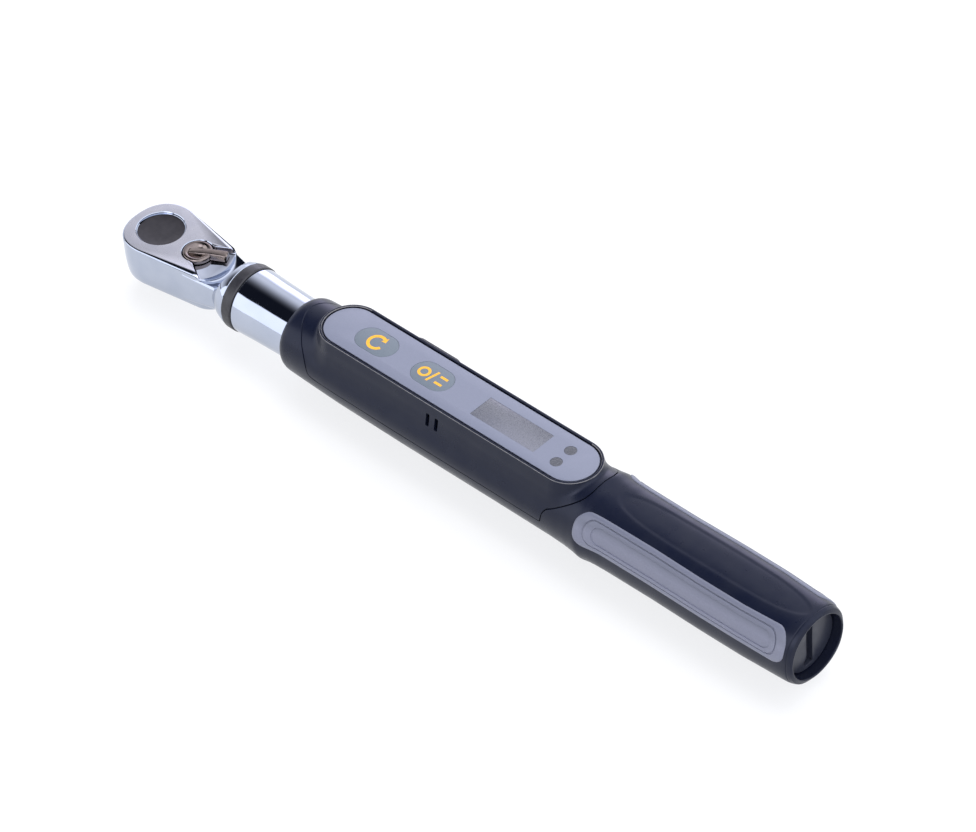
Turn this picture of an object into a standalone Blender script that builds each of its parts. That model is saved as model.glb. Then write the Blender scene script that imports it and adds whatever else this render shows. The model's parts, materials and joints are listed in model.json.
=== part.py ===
"""Digital torque wrench: ratchet head, chrome tube, plastic body with a display, battery handle.

Units are metres and +Z is up. The origin is the centre of the drive square's end face.
+X runs along the wrench from the head to the battery cap, and +Z is square to the keypad.
Every piece hangs on the empty "wrench_axis", which lies on the wrench's long axis.
Outlines and profiles below are written in millimetres from that axis and scaled by MM.
"""

import math

import bmesh
import bpy
from mathutils import Matrix, Vector

MM = 0.001
GAP = 0.3

# Drive and head
SQUARE_SIDE = 6.35
SQUARE_LENGTH = 7.0
SQUARE_CORNER = 0.8
HEAD_TOP = 7.0
HEAD_BOTTOM = -9.3
HEAD_FRONT = 11.5
HEAD_HALF = 12.75
HEAD_SQUARENESS = 2.3
FRONT_ANGLE = 80.8
NECK_CENTRE = 22.5
NECK_RADIUS = 9.3
NECK_ANGLE = 81.0
HEAD_BORE = 8.3
LIP_BORE = 6.8
LIP_TOP = -7.6
GEAR_TEETH = 36
GEAR_RADIUS = 8.0
GEAR_ROOT = 7.3
GEAR_TOP = 4.4
BOSS_RADIUS = 6.5
SNAP_START = 199.0
SNAP_SWEEP = 283.0
BOSS_END = HEAD_BOTTOM - 0.1
AXIS_HEIGHT = SQUARE_LENGTH - BOSS_END

# Reverse lever and pawl
LEVER_X = 17.3
LEVER_HUB = 5.15
LEVER_REACH = 10.3
LEVER_ANGLE = 28.0
FAN_FLOOR = 5.1
FAN_REACH = 12.0
VALLEY_LIFT = 0.037
FAN_EDGE = ((18.2, 5.3), (20.2, 5.45), (21.3, 6.1), (23.2, 7.25), (25.0, 8.2), (26.6, 9.0), (31.0, 11.0))
PAWL_X = 11.9
PAWL_ROCK = 8.0
PAWL_LOW = -3.4
PAWL_HIGH = 2.9

# Tube, collar and beam
COLLAR_END = 38.9
SPIGOT_RADIUS = 7.6
SPIGOT_END = 78.0
TUBE_START = 43.3
TUBE_END = 81.5
BEAM_END = 150.0
HEAD_PIN_X = 73.0
BEAM_PIN_X = 142.0
PIN_RADIUS = 1.4
PIN_HOLE = 1.7

# Body
COVER_SPLIT = -1.06
RIM_START = 88.4
RIM_END = 183.6
RIM_TOP = 15.6
PANEL_TOP = 15.35
PANEL_RADIUS = 8.87
PANEL_THICK = 0.5
PLATE_BOTTOM = 13.3
BUTTON_HALF = 8.15
BUTTON_RADIUS = 5.15
BUTTON_X = {"clear_button": 99.9, "unit_button": 124.4}
WINDOW_X = (144.9, 172.1)
WINDOW_HALF = 4.95
LENS_X = 180.3
LENS_Y = 3.27
LENS_RADIUS = 2.15
BOARD_TOP = 9.6
BOARD_THICK = 1.2
SCREW_PLACES = ((84.7, 6.3), (84.7, -6.3), (178.5, 6.9), (178.5, -6.9))

# Handle and battery
GRIP_START = 196.4
GRIP_END = 280.1
GRIP_LOW = 0.0
GRIP_HIGH = 11.2
GRIP_DEPTH = 1.8
HANDLE_BORE = 8.8
CAP_FACE = 279.7
CAP_RADIUS = 10.8
CAP_SEAT = 276.9
CELL_RADIUS = 5.25
CELL_LENGTH = 44.5
CELL_START = 182.8
COIL_START = CELL_START + 2 * CELL_LENGTH + 2.5 * GAP
COIL_END = 275.7

# Body outline: station along the wrench, half width, squareness of the section (2 is round)
BODY_KEYS = (
    (66.4, 11.7, 2.0),
    (67.2, 12.6, 2.0),
    (69.0, 13.1, 2.0),
    (74.0, 13.3, 2.0),
    (80.0, 13.5, 2.0),
    (92.0, 13.85, 2.0),
    (120.0, 14.05, 2.0),
    (160.0, 13.95, 2.0),
    (184.0, 14.0, 2.0),
    (190.0, 14.2, 2.0),
    (194.0, 14.5, 2.02),
    (197.2, 14.95, 2.05),
    (200.2, 14.2, 2.15),
    (203.0, 13.65, 2.35),
    (207.0, 13.2, 2.6),
    (226.0, 13.1, 2.6),
    (245.0, 13.3, 2.6),
    (262.0, 13.25, 2.6),
    (272.0, 13.05, 2.5),
    (277.0, 12.95, 2.45),
    (280.0, 12.8, 2.45),
    (282.0, 12.45, 2.4),
    (283.0, 12.0, 2.35),
)
GRIP_STATIONS = [key[0] for key in BODY_KEYS if 192.0 < key[0] < 282.5]


def clear_scene():
    for scene_object in list(bpy.data.objects):
        bpy.data.objects.remove(scene_object, do_unlink=True)


def material(name, colour, roughness, metallic=0.0):
    made = bpy.data.materials.new(name)
    made.use_nodes = True
    shader = made.node_tree.nodes["Principled BSDF"]
    shader.inputs["Base Color"].default_value = (*colour, 1.0)
    shader.inputs["Roughness"].default_value = roughness
    shader.inputs["Metallic"].default_value = metallic
    made.diffuse_color = (*colour, 1.0)
    return made


def add_object(name, mesh_maker, paint, place=(0.0, 0.0, 0.0), turn=(0.0, 0.0, 0.0), smooth=True):
    """Fill a bmesh in millimetres with mesh_maker, then hang it on the wrench axis."""
    shape = bmesh.new()
    mesh_maker(shape)
    bmesh.ops.scale(shape, vec=(MM, MM, MM), verts=shape.verts)
    bmesh.ops.recalc_face_normals(shape, faces=shape.faces)
    mesh = bpy.data.meshes.new(name)
    shape.to_mesh(mesh)
    shape.free()
    if smooth:
        mesh.shade_smooth()
        mesh.set_sharp_from_angle(angle=math.radians(35.0))
    made = bpy.data.objects.new(name, mesh)
    bpy.context.scene.collection.objects.link(made)
    if paint is not None:
        mesh.materials.append(paint)
    made.parent = AXIS
    made.location = Vector(place) * MM
    made.rotation_euler = [math.radians(angle) for angle in turn]
    return made


def cutter(name, mesh_maker, place=(0.0, 0.0, 0.0), turn=(0.0, 0.0, 0.0)):
    tool = add_object(name, mesh_maker, None, place, turn, smooth=False)
    tool.hide_render = True
    tool.display_type = "WIRE"
    return tool


def combine(target, tool, operation="DIFFERENCE"):
    modifier = target.modifiers.new(tool.name, "BOOLEAN")
    modifier.object = tool
    modifier.operation = operation
    modifier.solver = "EXACT"
    return target


def ring_skin(shape, rings, closed=False):
    """Join rings of points with quads, and cap the two ends unless the rings close on themselves."""
    loops = [[shape.verts.new(point) for point in ring] for ring in rings]
    count = len(loops[0])
    steps = len(loops) if closed else len(loops) - 1
    for step in range(steps):
        here = loops[step]
        there = loops[(step + 1) % len(loops)]
        for i in range(count):
            j = (i + 1) % count
            shape.faces.new((here[i], here[j], there[j], there[i]))
    if not closed:
        shape.faces.new(loops[0])
        shape.faces.new(loops[-1])


def turned(profile, axis="X", segments=32, closed=False, phase=0.0):
    """A solid of revolution from (along, radius) points."""

    def fill(shape):
        rings = []
        for along, radius in profile:
            ring = []
            for i in range(segments):
                angle = 2.0 * math.pi * (i + phase) / segments
                across = radius * math.cos(angle)
                up = radius * math.sin(angle)
                if axis == "X":
                    ring.append((along, across, up))
                elif axis == "Y":
                    ring.append((up, along, across))
                else:
                    ring.append((across, up, along))
            rings.append(ring)
        ring_skin(shape, rings, closed)

    return fill


def prism(outline, low, high, axis="Z"):
    """An outline pushed from low to high along an axis; the outline lies in the other two axes."""

    def fill(shape):
        rings = []
        for along in (low, high):
            if axis == "Z":
                rings.append([(u, v, along) for u, v in outline])
            elif axis == "Y":
                rings.append([(u, along, v) for u, v in outline])
            else:
                rings.append([(along, u, v) for u, v in outline])
        ring_skin(shape, rings)

    return fill


def block(x_range, y_range, z_range):
    outline = [
        (x_range[0], y_range[0]),
        (x_range[1], y_range[0]),
        (x_range[1], y_range[1]),
        (x_range[0], y_range[1]),
    ]
    return prism(outline, z_range[0], z_range[1])


def spring(radius, wire, length, turns, axis="X", steps=10, sides=5):
    """A helical spring from 0 to length along an axis."""

    def fill(shape):
        rings = []
        total = turns * steps
        for i in range(total + 1):
            angle = 2.0 * math.pi * i / steps
            along = length * i / total
            radial = Vector((0.0, math.cos(angle), math.sin(angle)))
            ring = []
            for j in range(sides):
                twist = 2.0 * math.pi * j / sides
                point = radial * (radius + wire * math.cos(twist))
                point.x = along + wire * math.sin(twist)
                ring.append(point if axis == "X" else Vector((point.y, point.z, point.x)))
            rings.append(ring)
        ring_skin(shape, rings)

    return fill


def stadium(start, end, radius, points=9):
    """A slot outline along X with half-round ends centred at start and end."""
    outline = []
    for i in range(points + 1):
        angle = math.pi * (0.5 + i / points)
        outline.append((start + radius * math.cos(angle), radius * math.sin(angle)))
    for i in range(points + 1):
        angle = math.pi * (1.5 + i / points)
        outline.append((end + radius * math.cos(angle), radius * math.sin(angle)))
    return outline


def rounded_box(u_range, v_range, radius, points=5):
    outline = []
    corners = (
        (u_range[1] - radius, v_range[1] - radius, 0.0),
        (u_range[0] + radius, v_range[1] - radius, 90.0),
        (u_range[0] + radius, v_range[0] + radius, 180.0),
        (u_range[1] - radius, v_range[0] + radius, 270.0),
    )
    for u, v, start in corners:
        for i in range(points + 1):
            angle = math.radians(start + 90.0 * i / points)
            outline.append((u + radius * math.cos(angle), v + radius * math.sin(angle)))
    return outline


def polar(radius, angle):
    return (radius * math.cos(math.radians(angle)), radius * math.sin(math.radians(angle)))


def body_keys_at(x):
    for (x0, a0, n0), (x1, a1, n1) in zip(BODY_KEYS, BODY_KEYS[1:]):
        if x <= x1:
            part = (x - x0) / (x1 - x0)
            return a0 + part * (a1 - a0), n0 + part * (n1 - n0)
    return BODY_KEYS[-1][1:]


def body_section(x, grow=0.0, segments=36):
    half, power = body_keys_at(x)
    ring = []
    for i in range(segments):
        angle = 2.0 * math.pi * (i + 0.5) / segments
        c = math.cos(angle)
        s = math.sin(angle)
        reach = (half + grow) / (abs(c) ** power + abs(s) ** power) ** (1.0 / power)
        ring.append((x, reach * c, reach * s))
    return ring


def body_loft(stations, grow=0.0):
    def fill(shape):
        ring_skin(shape, [body_section(x, grow) for x in stations])

    return fill


def rim_tower(levels):
    """The raised part of the top cover: slot outlines stacked from (height, radius) levels."""

    def fill(shape):
        rings = []
        for height, radius in levels:
            rings.append([(u, v, height) for u, v in stadium(RIM_START, RIM_END, radius)])
        ring_skin(shape, rings)

    return fill


def cover_outline(grow):
    """Side view of the top cover's seam, pushed outwards by grow."""
    front = [(70.4, 13.4), (71.3, 12.8), (72.9, 11.5), (76.4, 7.9), (78.6, 5.0), (80.3, 1.4)]
    rear = [(182.2, 2.0), (184.2, 4.6), (189.2, 8.0), (194.4, 11.6), (196.4, 13.2), (197.3, 14.4)]
    outline = [(70.4 - grow, 22.0)]
    outline += [(x - 0.85 * grow, z - 0.5 * grow) for x, z in front]
    outline += [(81.6 - 0.5 * grow, COVER_SPLIT - grow), (181.9 + grow, COVER_SPLIT - grow)]
    outline += [(x + 0.6 * grow, z - 0.8 * grow) for x, z in rear]
    outline.append((197.3 + grow, 22.0))
    return outline


def head_slice(height, inset):
    """Plan outline of the head: a blunt front, flanks that taper, and a round neck end."""
    ring = []
    for i in range(25):
        angle = math.radians(FRONT_ANGLE + (360.0 - 2.0 * FRONT_ANGLE) * i / 24)
        c = math.cos(angle)
        s = math.sin(angle)
        x = math.copysign(abs(c) ** (2.0 / HEAD_SQUARENESS), c) * (HEAD_FRONT - inset)
        y = math.copysign(abs(s) ** (2.0 / HEAD_SQUARENESS), s) * (HEAD_HALF - inset)
        ring.append((x, y, height))
    for i in range(13):
        x, y = polar(NECK_RADIUS - inset, NECK_ANGLE * (i / 6 - 1.0))
        ring.append((NECK_CENTRE + x, y, height))
    return ring


def valley_slice(y):
    """Side view of the hollow behind the fan, at a distance from the middle plane."""
    start = LEVER_X + math.sqrt(max(FAN_REACH**2 - y * y, 1.0))
    lift = VALLEY_LIFT * y * y
    floor = [(start, 4.2), (start + 0.5, 3.4), (start + 1.2, 3.0)]
    floor += [(31.6, 3.0), (33.2, 3.9), (34.6, 5.7), (35.7, 7.9), (36.7, 10.4)]
    outline = [(x, y, z + lift) for x, z in floor]
    return [(start, y, 22.0), *outline, (37.4, y, 22.0)]


def make_head(chrome):
    levels = (
        (HEAD_TOP, 0.55),
        (HEAD_TOP - 0.25, 0.18),
        (HEAD_TOP - 0.7, 0.0),
        (0.5, 0.0),
        (-2.5, 0.1),
        (-5.3, 0.4),
        (-7.3, 0.8),
        (-8.6, 1.4),
        (HEAD_BOTTOM, 3.0),
    )

    def fill(shape):
        ring_skin(shape, [head_slice(height, inset) for height, inset in levels])

    head = add_object("ratchet_head", fill, chrome)
    neck_profile = (
        (21.0, 6.4),
        (29.6, 7.3),
        (31.6, 7.9),
        (33.3, 9.2),
        (35.2, 10.3),
        (37.3, 11.15),
        (COLLAR_END, 11.4),
        (COLLAR_END, SPIGOT_RADIUS),
        (SPIGOT_END, SPIGOT_RADIUS),
    )
    combine(head, cutter("neck_form", turned(neck_profile)), "UNION")

    def cheeks(shape):
        rings = []
        sections = ((22.0, 9.6, -6.4, 5.6), (28.0, 8.65, -5.9, 5.3), (34.0, 7.7, -5.2, 4.9))
        for x, half, low, high in sections:
            rings.append([(x, y, z) for y, z in rounded_box((-half, half), (low, high), 1.8, 3)])
        ring_skin(shape, rings)

    combine(head, cutter("cheek_form", cheeks), "UNION")

    def valley(shape):
        ring_skin(shape, [valley_slice(-11.7 + 1.8 * i) for i in range(14)])

    combine(head, cutter("valley_cut", valley))
    bore = (
        (LIP_TOP, HEAD_BORE),
        (5.85, HEAD_BORE),
        (5.85, 8.65),
        (6.65, 8.65),
        (6.65, HEAD_BORE - 0.1),
        (HEAD_TOP + 1.0, HEAD_BORE - 0.1),
    )
    combine(head, cutter("gear_bore", turned(bore, "Z")))
    combine(head, cutter("lip_bore", turned(((-10.0, LIP_BORE), (LIP_TOP + 0.5, LIP_BORE)), "Z")))
    pocket = [(5.5, -5.8), (8.0, -6.9), (11.2, -6.9), (15.9, -3.4)]
    pocket += [(x, -y) for x, y in reversed(pocket)]
    combine(head, cutter("pawl_pocket", prism(pocket, PAWL_LOW - GAP, PAWL_HIGH + GAP)))
    shaft_hole = turned(((-4.6, 2.9), (FAN_FLOOR + 0.5, 2.9)), "Z")
    combine(head, cutter("lever_bore", shaft_hole, (LEVER_X, 0.0, 0.0)))
    combine(head, cutter("hub_seat", turned(((FAN_FLOOR, 5.5), (9.0, 5.5)), "Z"), (LEVER_X, 0.0, 0.0)))

    def fan(shape):
        rings = []
        levels = ((FAN_FLOOR, 0.9), (FAN_FLOOR + 0.6, 0.45), (HEAD_TOP, 0.0), (HEAD_TOP + 2.0, 0.0))
        for height, inset in levels:
            side = [(x, y - inset) for x, y in FAN_EDGE]
            outline = side + [(x, -y) for x, y in reversed(side)]
            rings.append([(x, y, height) for x, y in outline])
        ring_skin(shape, rings)

    combine(head, cutter("fan_cut", fan))
    pin_hole = turned(((-5.3, 1.1), (4.3, 1.1)), "Z", 12)
    combine(head, cutter("pawl_pin_hole", pin_hole, (PAWL_X, 0.0, 0.0)))
    slot = block((66.0, SPIGOT_END + 1.0), (-3.3, 3.3), (-5.8, 5.8))
    combine(head, cutter("beam_slot", slot))
    cross = turned(((-9.0, PIN_HOLE), (9.0, PIN_HOLE)), "Y", 14)
    combine(head, cutter("spigot_pin_hole", cross, (HEAD_PIN_X, 0.0, 0.0)))
    return head


def make_drive(steel, dark_steel):
    def fill(shape):
        rings = []
        for height in (GEAR_TOP, LIP_TOP + GAP):
            ring = []
            for i in range(2 * GEAR_TEETH):
                radius = GEAR_RADIUS if i % 2 == 0 else GEAR_ROOT
                x, y = polar(radius, 180.0 * i / GEAR_TEETH)
                ring.append((x, y, height))
            rings.append(ring)
        ring_skin(shape, rings)

    gear = add_object("drive_gear", fill, steel, smooth=False)
    boss = (
        (LIP_TOP + 2.0, BOSS_RADIUS),
        (BOSS_END + 0.3, BOSS_RADIUS),
        (BOSS_END, BOSS_RADIUS - 0.3),
    )
    combine(gear, cutter("gear_boss", turned(boss, "Z")), "UNION")
    half = SQUARE_SIDE / 2.0

    def square(shape):
        rings = []
        end = BOSS_END - SQUARE_LENGTH
        for height, inset in ((BOSS_END + 1.0, 0.0), (end + 0.6, 0.0), (end, 0.55)):
            reach = half - inset
            outline = rounded_box((-reach, reach), (-reach, reach), SQUARE_CORNER, 3)
            rings.append([(u, v, height) for u, v in outline])
        ring_skin(shape, rings)

    combine(gear, cutter("square_form", square), "UNION")
    ball_height = BOSS_END - 3.6
    ball_hole = turned(((-1.4, 1.25), (4.0, 1.25)), "X", 12)
    combine(gear, cutter("ball_hole", ball_hole, (0.0, 0.0, ball_height)))

    def ball(shape):
        bmesh.ops.create_uvsphere(shape, u_segments=12, v_segments=8, radius=1.05)

    add_object("detent_ball", ball, dark_steel, (2.45, 0.0, ball_height))
    coil = spring(0.7, 0.16, 1.65, 3, "X", 8, 4)
    add_object("detent_spring", coil, dark_steel, (-0.95, 0.0, ball_height))
    return gear


def make_head_trim(black_steel, chrome):
    add_object("cover_disc", turned(((4.75, 7.7), (4.9, 8.0), (5.7, 8.0)), "Z"), black_steel)
    arc_profile = ((6.0, 7.8), (6.5, 7.8), (6.5, 8.5), (6.0, 8.5))

    def snap_ring(shape):
        rings = []
        for i in range(37):
            angle = SNAP_START + SNAP_SWEEP * i / 36
            rings.append([(*polar(radius, angle), height) for height, radius in arc_profile])
        ring_skin(shape, rings)

    add_object("snap_ring", snap_ring, chrome)


def make_lever(nickel, dark_steel):
    hub_low = FAN_FLOOR + GAP
    hub = (
        (-4.2, 2.6),
        (hub_low, 2.6),
        (hub_low, LEVER_HUB - 0.3),
        (hub_low + 0.3, LEVER_HUB),
        (6.7, LEVER_HUB),
        (7.15, 4.6),
        (7.15, 4.1),
        (6.5, 3.3),
        (6.25, 0.6),
    )
    place = (LEVER_X, 0.0, 0.0)
    turn = (0.0, 0.0, LEVER_ANGLE)
    lever = add_object("reverse_lever", turned(hub, "Z"), nickel, place, turn)
    outline = [(0.5, -1.25), (8.6, -1.4), (LEVER_REACH, -1.4)]
    outline += [(along, -across) for along, across in reversed(outline)]

    def arm(shape):
        rings = [[(u, v, hub_low + 0.05) for u, v in outline]]
        rings.append([(u, v, 6.2 + 0.1 * u) for u, v in outline])
        ring_skin(shape, rings)
        long_edges = [edge for edge in shape.edges if all(vert.co.z > 6.0 for vert in edge.verts)]
        bmesh.ops.bevel(shape, geom=long_edges, offset=0.35, segments=2, affect="EDGES")

    combine(lever, cutter("lever_arm", arm, place, turn), "UNION")
    plunger_hole = turned(((-3.2, 0.95), (1.2, 0.95)), "X", 12)
    combine(lever, cutter("plunger_hole", plunger_hole, (LEVER_X, 0.0, -0.25), turn))
    tip = turned(((-4.1, 0.3), (-3.9, 0.65), (-3.5, 0.75), (-1.7, 0.75)), "X", 12)
    add_object("pawl_plunger", tip, dark_steel, (LEVER_X, 0.0, -0.25), turn)
    coil = spring(0.6, 0.14, 2.2, 4, "X", 8, 4)
    tail = Matrix.Rotation(math.radians(LEVER_ANGLE), 4, "Z") @ Vector((-1.4, 0.0, 0.0))
    add_object("plunger_spring", coil, dark_steel, (LEVER_X + tail.x, tail.y, -0.25), turn)
    return lever


def make_pawl(steel, dark_steel):
    """The pawl is drawn with its lower tip in the gear, then turned back to the middle and mirrored."""
    tooth = [polar(8.35, 15.0), polar(8.25, 22.0), polar(7.45, 25.0)]
    tooth += [polar(8.25, 28.0), polar(8.6, 34.0)]
    middle = Matrix.Rotation(math.radians(-PAWL_ROCK), 2)
    upper = [middle @ Vector((x - PAWL_X, y)) for x, y in tooth]
    back = [Vector((-1.0, 4.9)), Vector((1.7, 2.2)), Vector((0.8, 0.0))]
    half = upper + back
    outline = [(point.x, point.y) for point in half]
    outline += [(point.x, -point.y) for point in reversed(half[:-1])]
    place = (PAWL_X, 0.0, 0.0)
    turn = (0.0, 0.0, -PAWL_ROCK)
    pawl = add_object("pawl", prism(outline, PAWL_LOW, PAWL_HIGH), steel, place, turn, False)
    hole = turned(((-6.0, 1.05), (6.0, 1.05)), "Z", 12)
    combine(pawl, cutter("pawl_hole", hole, place))
    add_object("pawl_pin", turned(((-5.1, 0.85), (4.1, 0.85)), "Z", 12), dark_steel, place)


def make_tube(chrome, rubber):
    seal = ((39.2, 7.9), (39.2, 11.35), (39.5, 11.6), (42.7, 11.6), (43.0, 11.4), (43.0, 7.9))
    add_object("seal_ring", turned(seal, closed=True), rubber)
    tube_profile = (
        (TUBE_START, 7.9),
        (TUBE_START, 11.2),
        (TUBE_START + 0.3, 11.4),
        (47.0, 11.25),
        (51.4, 11.05),
        (57.0, 10.9),
        (65.0, 10.7),
        (TUBE_END, 10.7),
        (TUBE_END, 7.9),
    )
    tube = add_object("outer_tube", turned(tube_profile, closed=True), chrome)
    cross = turned(((-12.0, PIN_HOLE), (12.0, PIN_HOLE)), "Y", 14)
    combine(tube, cutter("tube_pin_hole", cross, (HEAD_PIN_X, 0.0, 0.0)))


def make_beam(steel, dark_steel, gauge_paint):
    bar = block((69.0, BEAM_END), (-3.0, 3.0), (-5.5, 5.5))
    beam = add_object("sensor_beam", bar, steel, smooth=False)
    for side in (-1.0, 1.0):
        waist = block((90.0, 118.0), sorted((side * 2.0, side * 4.0)), (-6.0, 6.0))
        combine(beam, cutter("beam_waist_%d" % (side > 0), waist))
    for name, x, reach in (("head_pin", HEAD_PIN_X, 10.2), ("beam_pin", BEAM_PIN_X, 7.5)):
        hole = turned(((-5.0, PIN_HOLE), (5.0, PIN_HOLE)), "Y", 14)
        combine(beam, cutter(name + "_hole", hole, (x, 0.0, 0.0)))
        pin = turned(((-reach, PIN_RADIUS), (reach, PIN_RADIUS)), "Y", 14)
        add_object(name, pin, dark_steel, (x, 0.0, 0.0))
    for name, side in (("strain_gauge_front", -1.0), ("strain_gauge_back", 1.0)):
        patch = block((100.0, 108.0), sorted((side * 2.1, side * 2.3)), (-2.5, 2.5))
        add_object(name, patch, gauge_paint, smooth=False)


def make_shell(name, paint):
    """The whole plastic body, still in one piece, with its inner space cut out."""
    shell = add_object(name, body_loft([key[0] for key in BODY_KEYS]), paint)
    levels = ((2.0, 13.0), (4.5, 12.45), (7.5, 11.65), (12.4, 10.9), (15.3, 10.45), (RIM_TOP, 10.15))
    combine(shell, cutter(name + "_tower", rim_tower(levels)), "UNION")
    bore = (
        (60.0, 11.0),
        (80.5, 11.0),
        (82.5, 12.0),
        (179.0, 12.0),
        (181.0, HANDLE_BORE),
        (CAP_SEAT, HANDLE_BORE),
        (CAP_SEAT, CAP_RADIUS + GAP),
        (281.8, CAP_RADIUS + GAP),
        (290.0, 13.5),
    )
    combine(shell, cutter(name + "_bore", turned(bore, phase=0.3)))
    combine(shell, cutter(name + "_loft", rim_tower(((3.2, 8.95), (PLATE_BOTTOM, 8.85)))))
    return shell


def make_top_cover(plastic):
    cover = make_shell("top_cover", plastic)
    combine(cover, cutter("cover_region", prism(cover_outline(0.0), -20.0, 20.0, "Y")), "INTERSECT")
    for i, (x, y) in enumerate(SCREW_PLACES):
        column = turned(((0.0, 2.3), (PLATE_BOTTOM + 0.5, 2.3)), "Z", 14)
        combine(cover, cutter("screw_column_%d" % i, column, (x, y, 0.0)), "UNION")
        pilot = turned(((-1.0, 1.35), (9.0, 1.35)), "Z", 12)
        combine(cover, cutter("screw_pilot_%d" % i, pilot, (x, y, 0.0)))
    recess = prism(stadium(RIM_START, RIM_END, PANEL_RADIUS + 0.15), PANEL_TOP - PANEL_THICK - 0.1, 20.0)
    combine(cover, cutter("panel_recess", recess))
    for name, x in BUTTON_X.items():
        reach = BUTTON_HALF - BUTTON_RADIUS
        slot = stadium(-reach, reach, BUTTON_RADIUS + 0.1)
        combine(cover, cutter(name + "_well", prism(slot, 12.0, 16.0), (x, 0.0, 0.0)))
    window = block((WINDOW_X[0] + 1.0, WINDOW_X[1] - 1.0), (-4.0, 4.0), (12.0, 16.0))
    combine(cover, cutter("window_well", window))
    for side in (-1.0, 1.0):
        well = turned(((12.0, LENS_RADIUS + 0.15), (16.0, LENS_RADIUS + 0.15)), "Z", 14)
        combine(cover, cutter("lens_well_%d" % (side > 0), well, (LENS_X, side * LENS_Y, 0.0)))
    for i, x in enumerate((132.5, 136.2)):
        vent = block((x - 0.8, x + 0.8), (-14.0, -8.0), (6.6, 12.2))
        combine(cover, cutter("buzzer_slot_%d" % i, vent))
    combine(cover, cutter("port_hole", block((105.9, 122.7), (8.0, 15.0), (6.7, 12.4))))
    return cover


def make_housing(plastic):
    housing = make_shell("main_housing", plastic)
    saddle = block((134.0, BEAM_END + 2.0), (-7.9, 7.9), (-10.9, 1.5))
    combine(housing, cutter("beam_saddle", saddle), "UNION")
    channel = block((130.0, BEAM_END + GAP), (-3.3, 3.3), (-5.8, 8.0))
    combine(housing, cutter("beam_channel", channel))
    cross = turned(((-8.0, PIN_HOLE), (8.0, PIN_HOLE)), "Y", 14)
    combine(housing, cutter("saddle_pin_hole", cross, (BEAM_PIN_X, 0.0, 0.0)))
    combine(housing, cutter("seam_region", prism(cover_outline(GAP), -20.0, 20.0, "Y")))
    for i, (x, y) in enumerate(SCREW_PLACES):
        boss = turned(((-10.6, 2.6), (-0.5 + COVER_SPLIT, 2.6)), "Z", 14)
        combine(housing, cutter("screw_boss_%d" % i, boss, (x, y, 0.0)), "UNION")
        hole = turned(((-16.0, 2.3), (-8.6, 2.3), (-8.6, 1.45), (2.0, 1.45)), "Z", 14)
        combine(housing, cutter("screw_hole_%d" % i, hole, (x, y, 0.0)))
    for name, side in (("pocket_near", -1.0), ("pocket_far", 1.0)):
        pocket = cutter(name, grip_prism(side, 0.2))
        combine(pocket, cutter(name + "_core", body_loft(GRIP_STATIONS, -GRIP_DEPTH - 0.25)))
        combine(housing, pocket)
    return housing


def grip_prism(side, grow):
    lengthwise = (GRIP_START - grow, GRIP_END + grow)
    upright = (GRIP_LOW - grow, GRIP_HIGH + grow)
    outline = rounded_box(lengthwise, upright, 4.6 + grow)
    return prism(outline, *sorted((side * 4.0, side * 18.0)), "Y")


def make_grips(rubber):
    for name, side in (("grip_inlay_near", -1.0), ("grip_inlay_far", 1.0)):
        grip = add_object(name, body_loft(GRIP_STATIONS, 0.1), rubber)
        combine(grip, cutter(name + "_outline", grip_prism(side, 0.0)), "INTERSECT")
        combine(grip, cutter(name + "_core", body_loft(GRIP_STATIONS, -GRIP_DEPTH)))


def make_keypad(panel_paint, key_paint, glass, lens_paint):
    bottom = PANEL_TOP - PANEL_THICK
    sheet = prism(stadium(RIM_START, RIM_END, PANEL_RADIUS), bottom, PANEL_TOP)
    panel = add_object("overlay_panel", sheet, panel_paint)
    for name, x in BUTTON_X.items():
        reach = BUTTON_HALF - BUTTON_RADIUS
        slot = stadium(-reach, reach, BUTTON_RADIUS)
        combine(panel, cutter(name + "_opening", prism(slot, 14.0, 16.0), (x, 0.0, 0.0)))
        key = stadium(-reach, reach, BUTTON_RADIUS - 0.2)
        add_object(name, prism(key, 12.4, PANEL_TOP), key_paint, (x, 0.0, 0.0))
    opening = block(WINDOW_X, (-WINDOW_HALF, WINDOW_HALF), (14.0, 16.0))
    combine(panel, cutter("window_opening", opening))
    pane = block(
        (WINDOW_X[0] + 0.15, WINDOW_X[1] - 0.15),
        (-WINDOW_HALF + 0.15, WINDOW_HALF - 0.15),
        (bottom, PANEL_TOP - 0.05),
    )
    add_object("display_window", pane, glass, smooth=False)
    for name, side in (("indicator_lens_near", -1.0), ("indicator_lens_far", 1.0)):
        hole = turned(((14.0, LENS_RADIUS), (16.0, LENS_RADIUS)), "Z", 24)
        combine(panel, cutter(name + "_opening", hole, (LENS_X, side * LENS_Y, 0.0)))
        lens = turned(((13.5, LENS_RADIUS - 0.15), (PANEL_TOP, LENS_RADIUS - 0.15)), "Z", 24)
        add_object(name, lens, lens_paint, (LENS_X, side * LENS_Y, 0.0))


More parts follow.
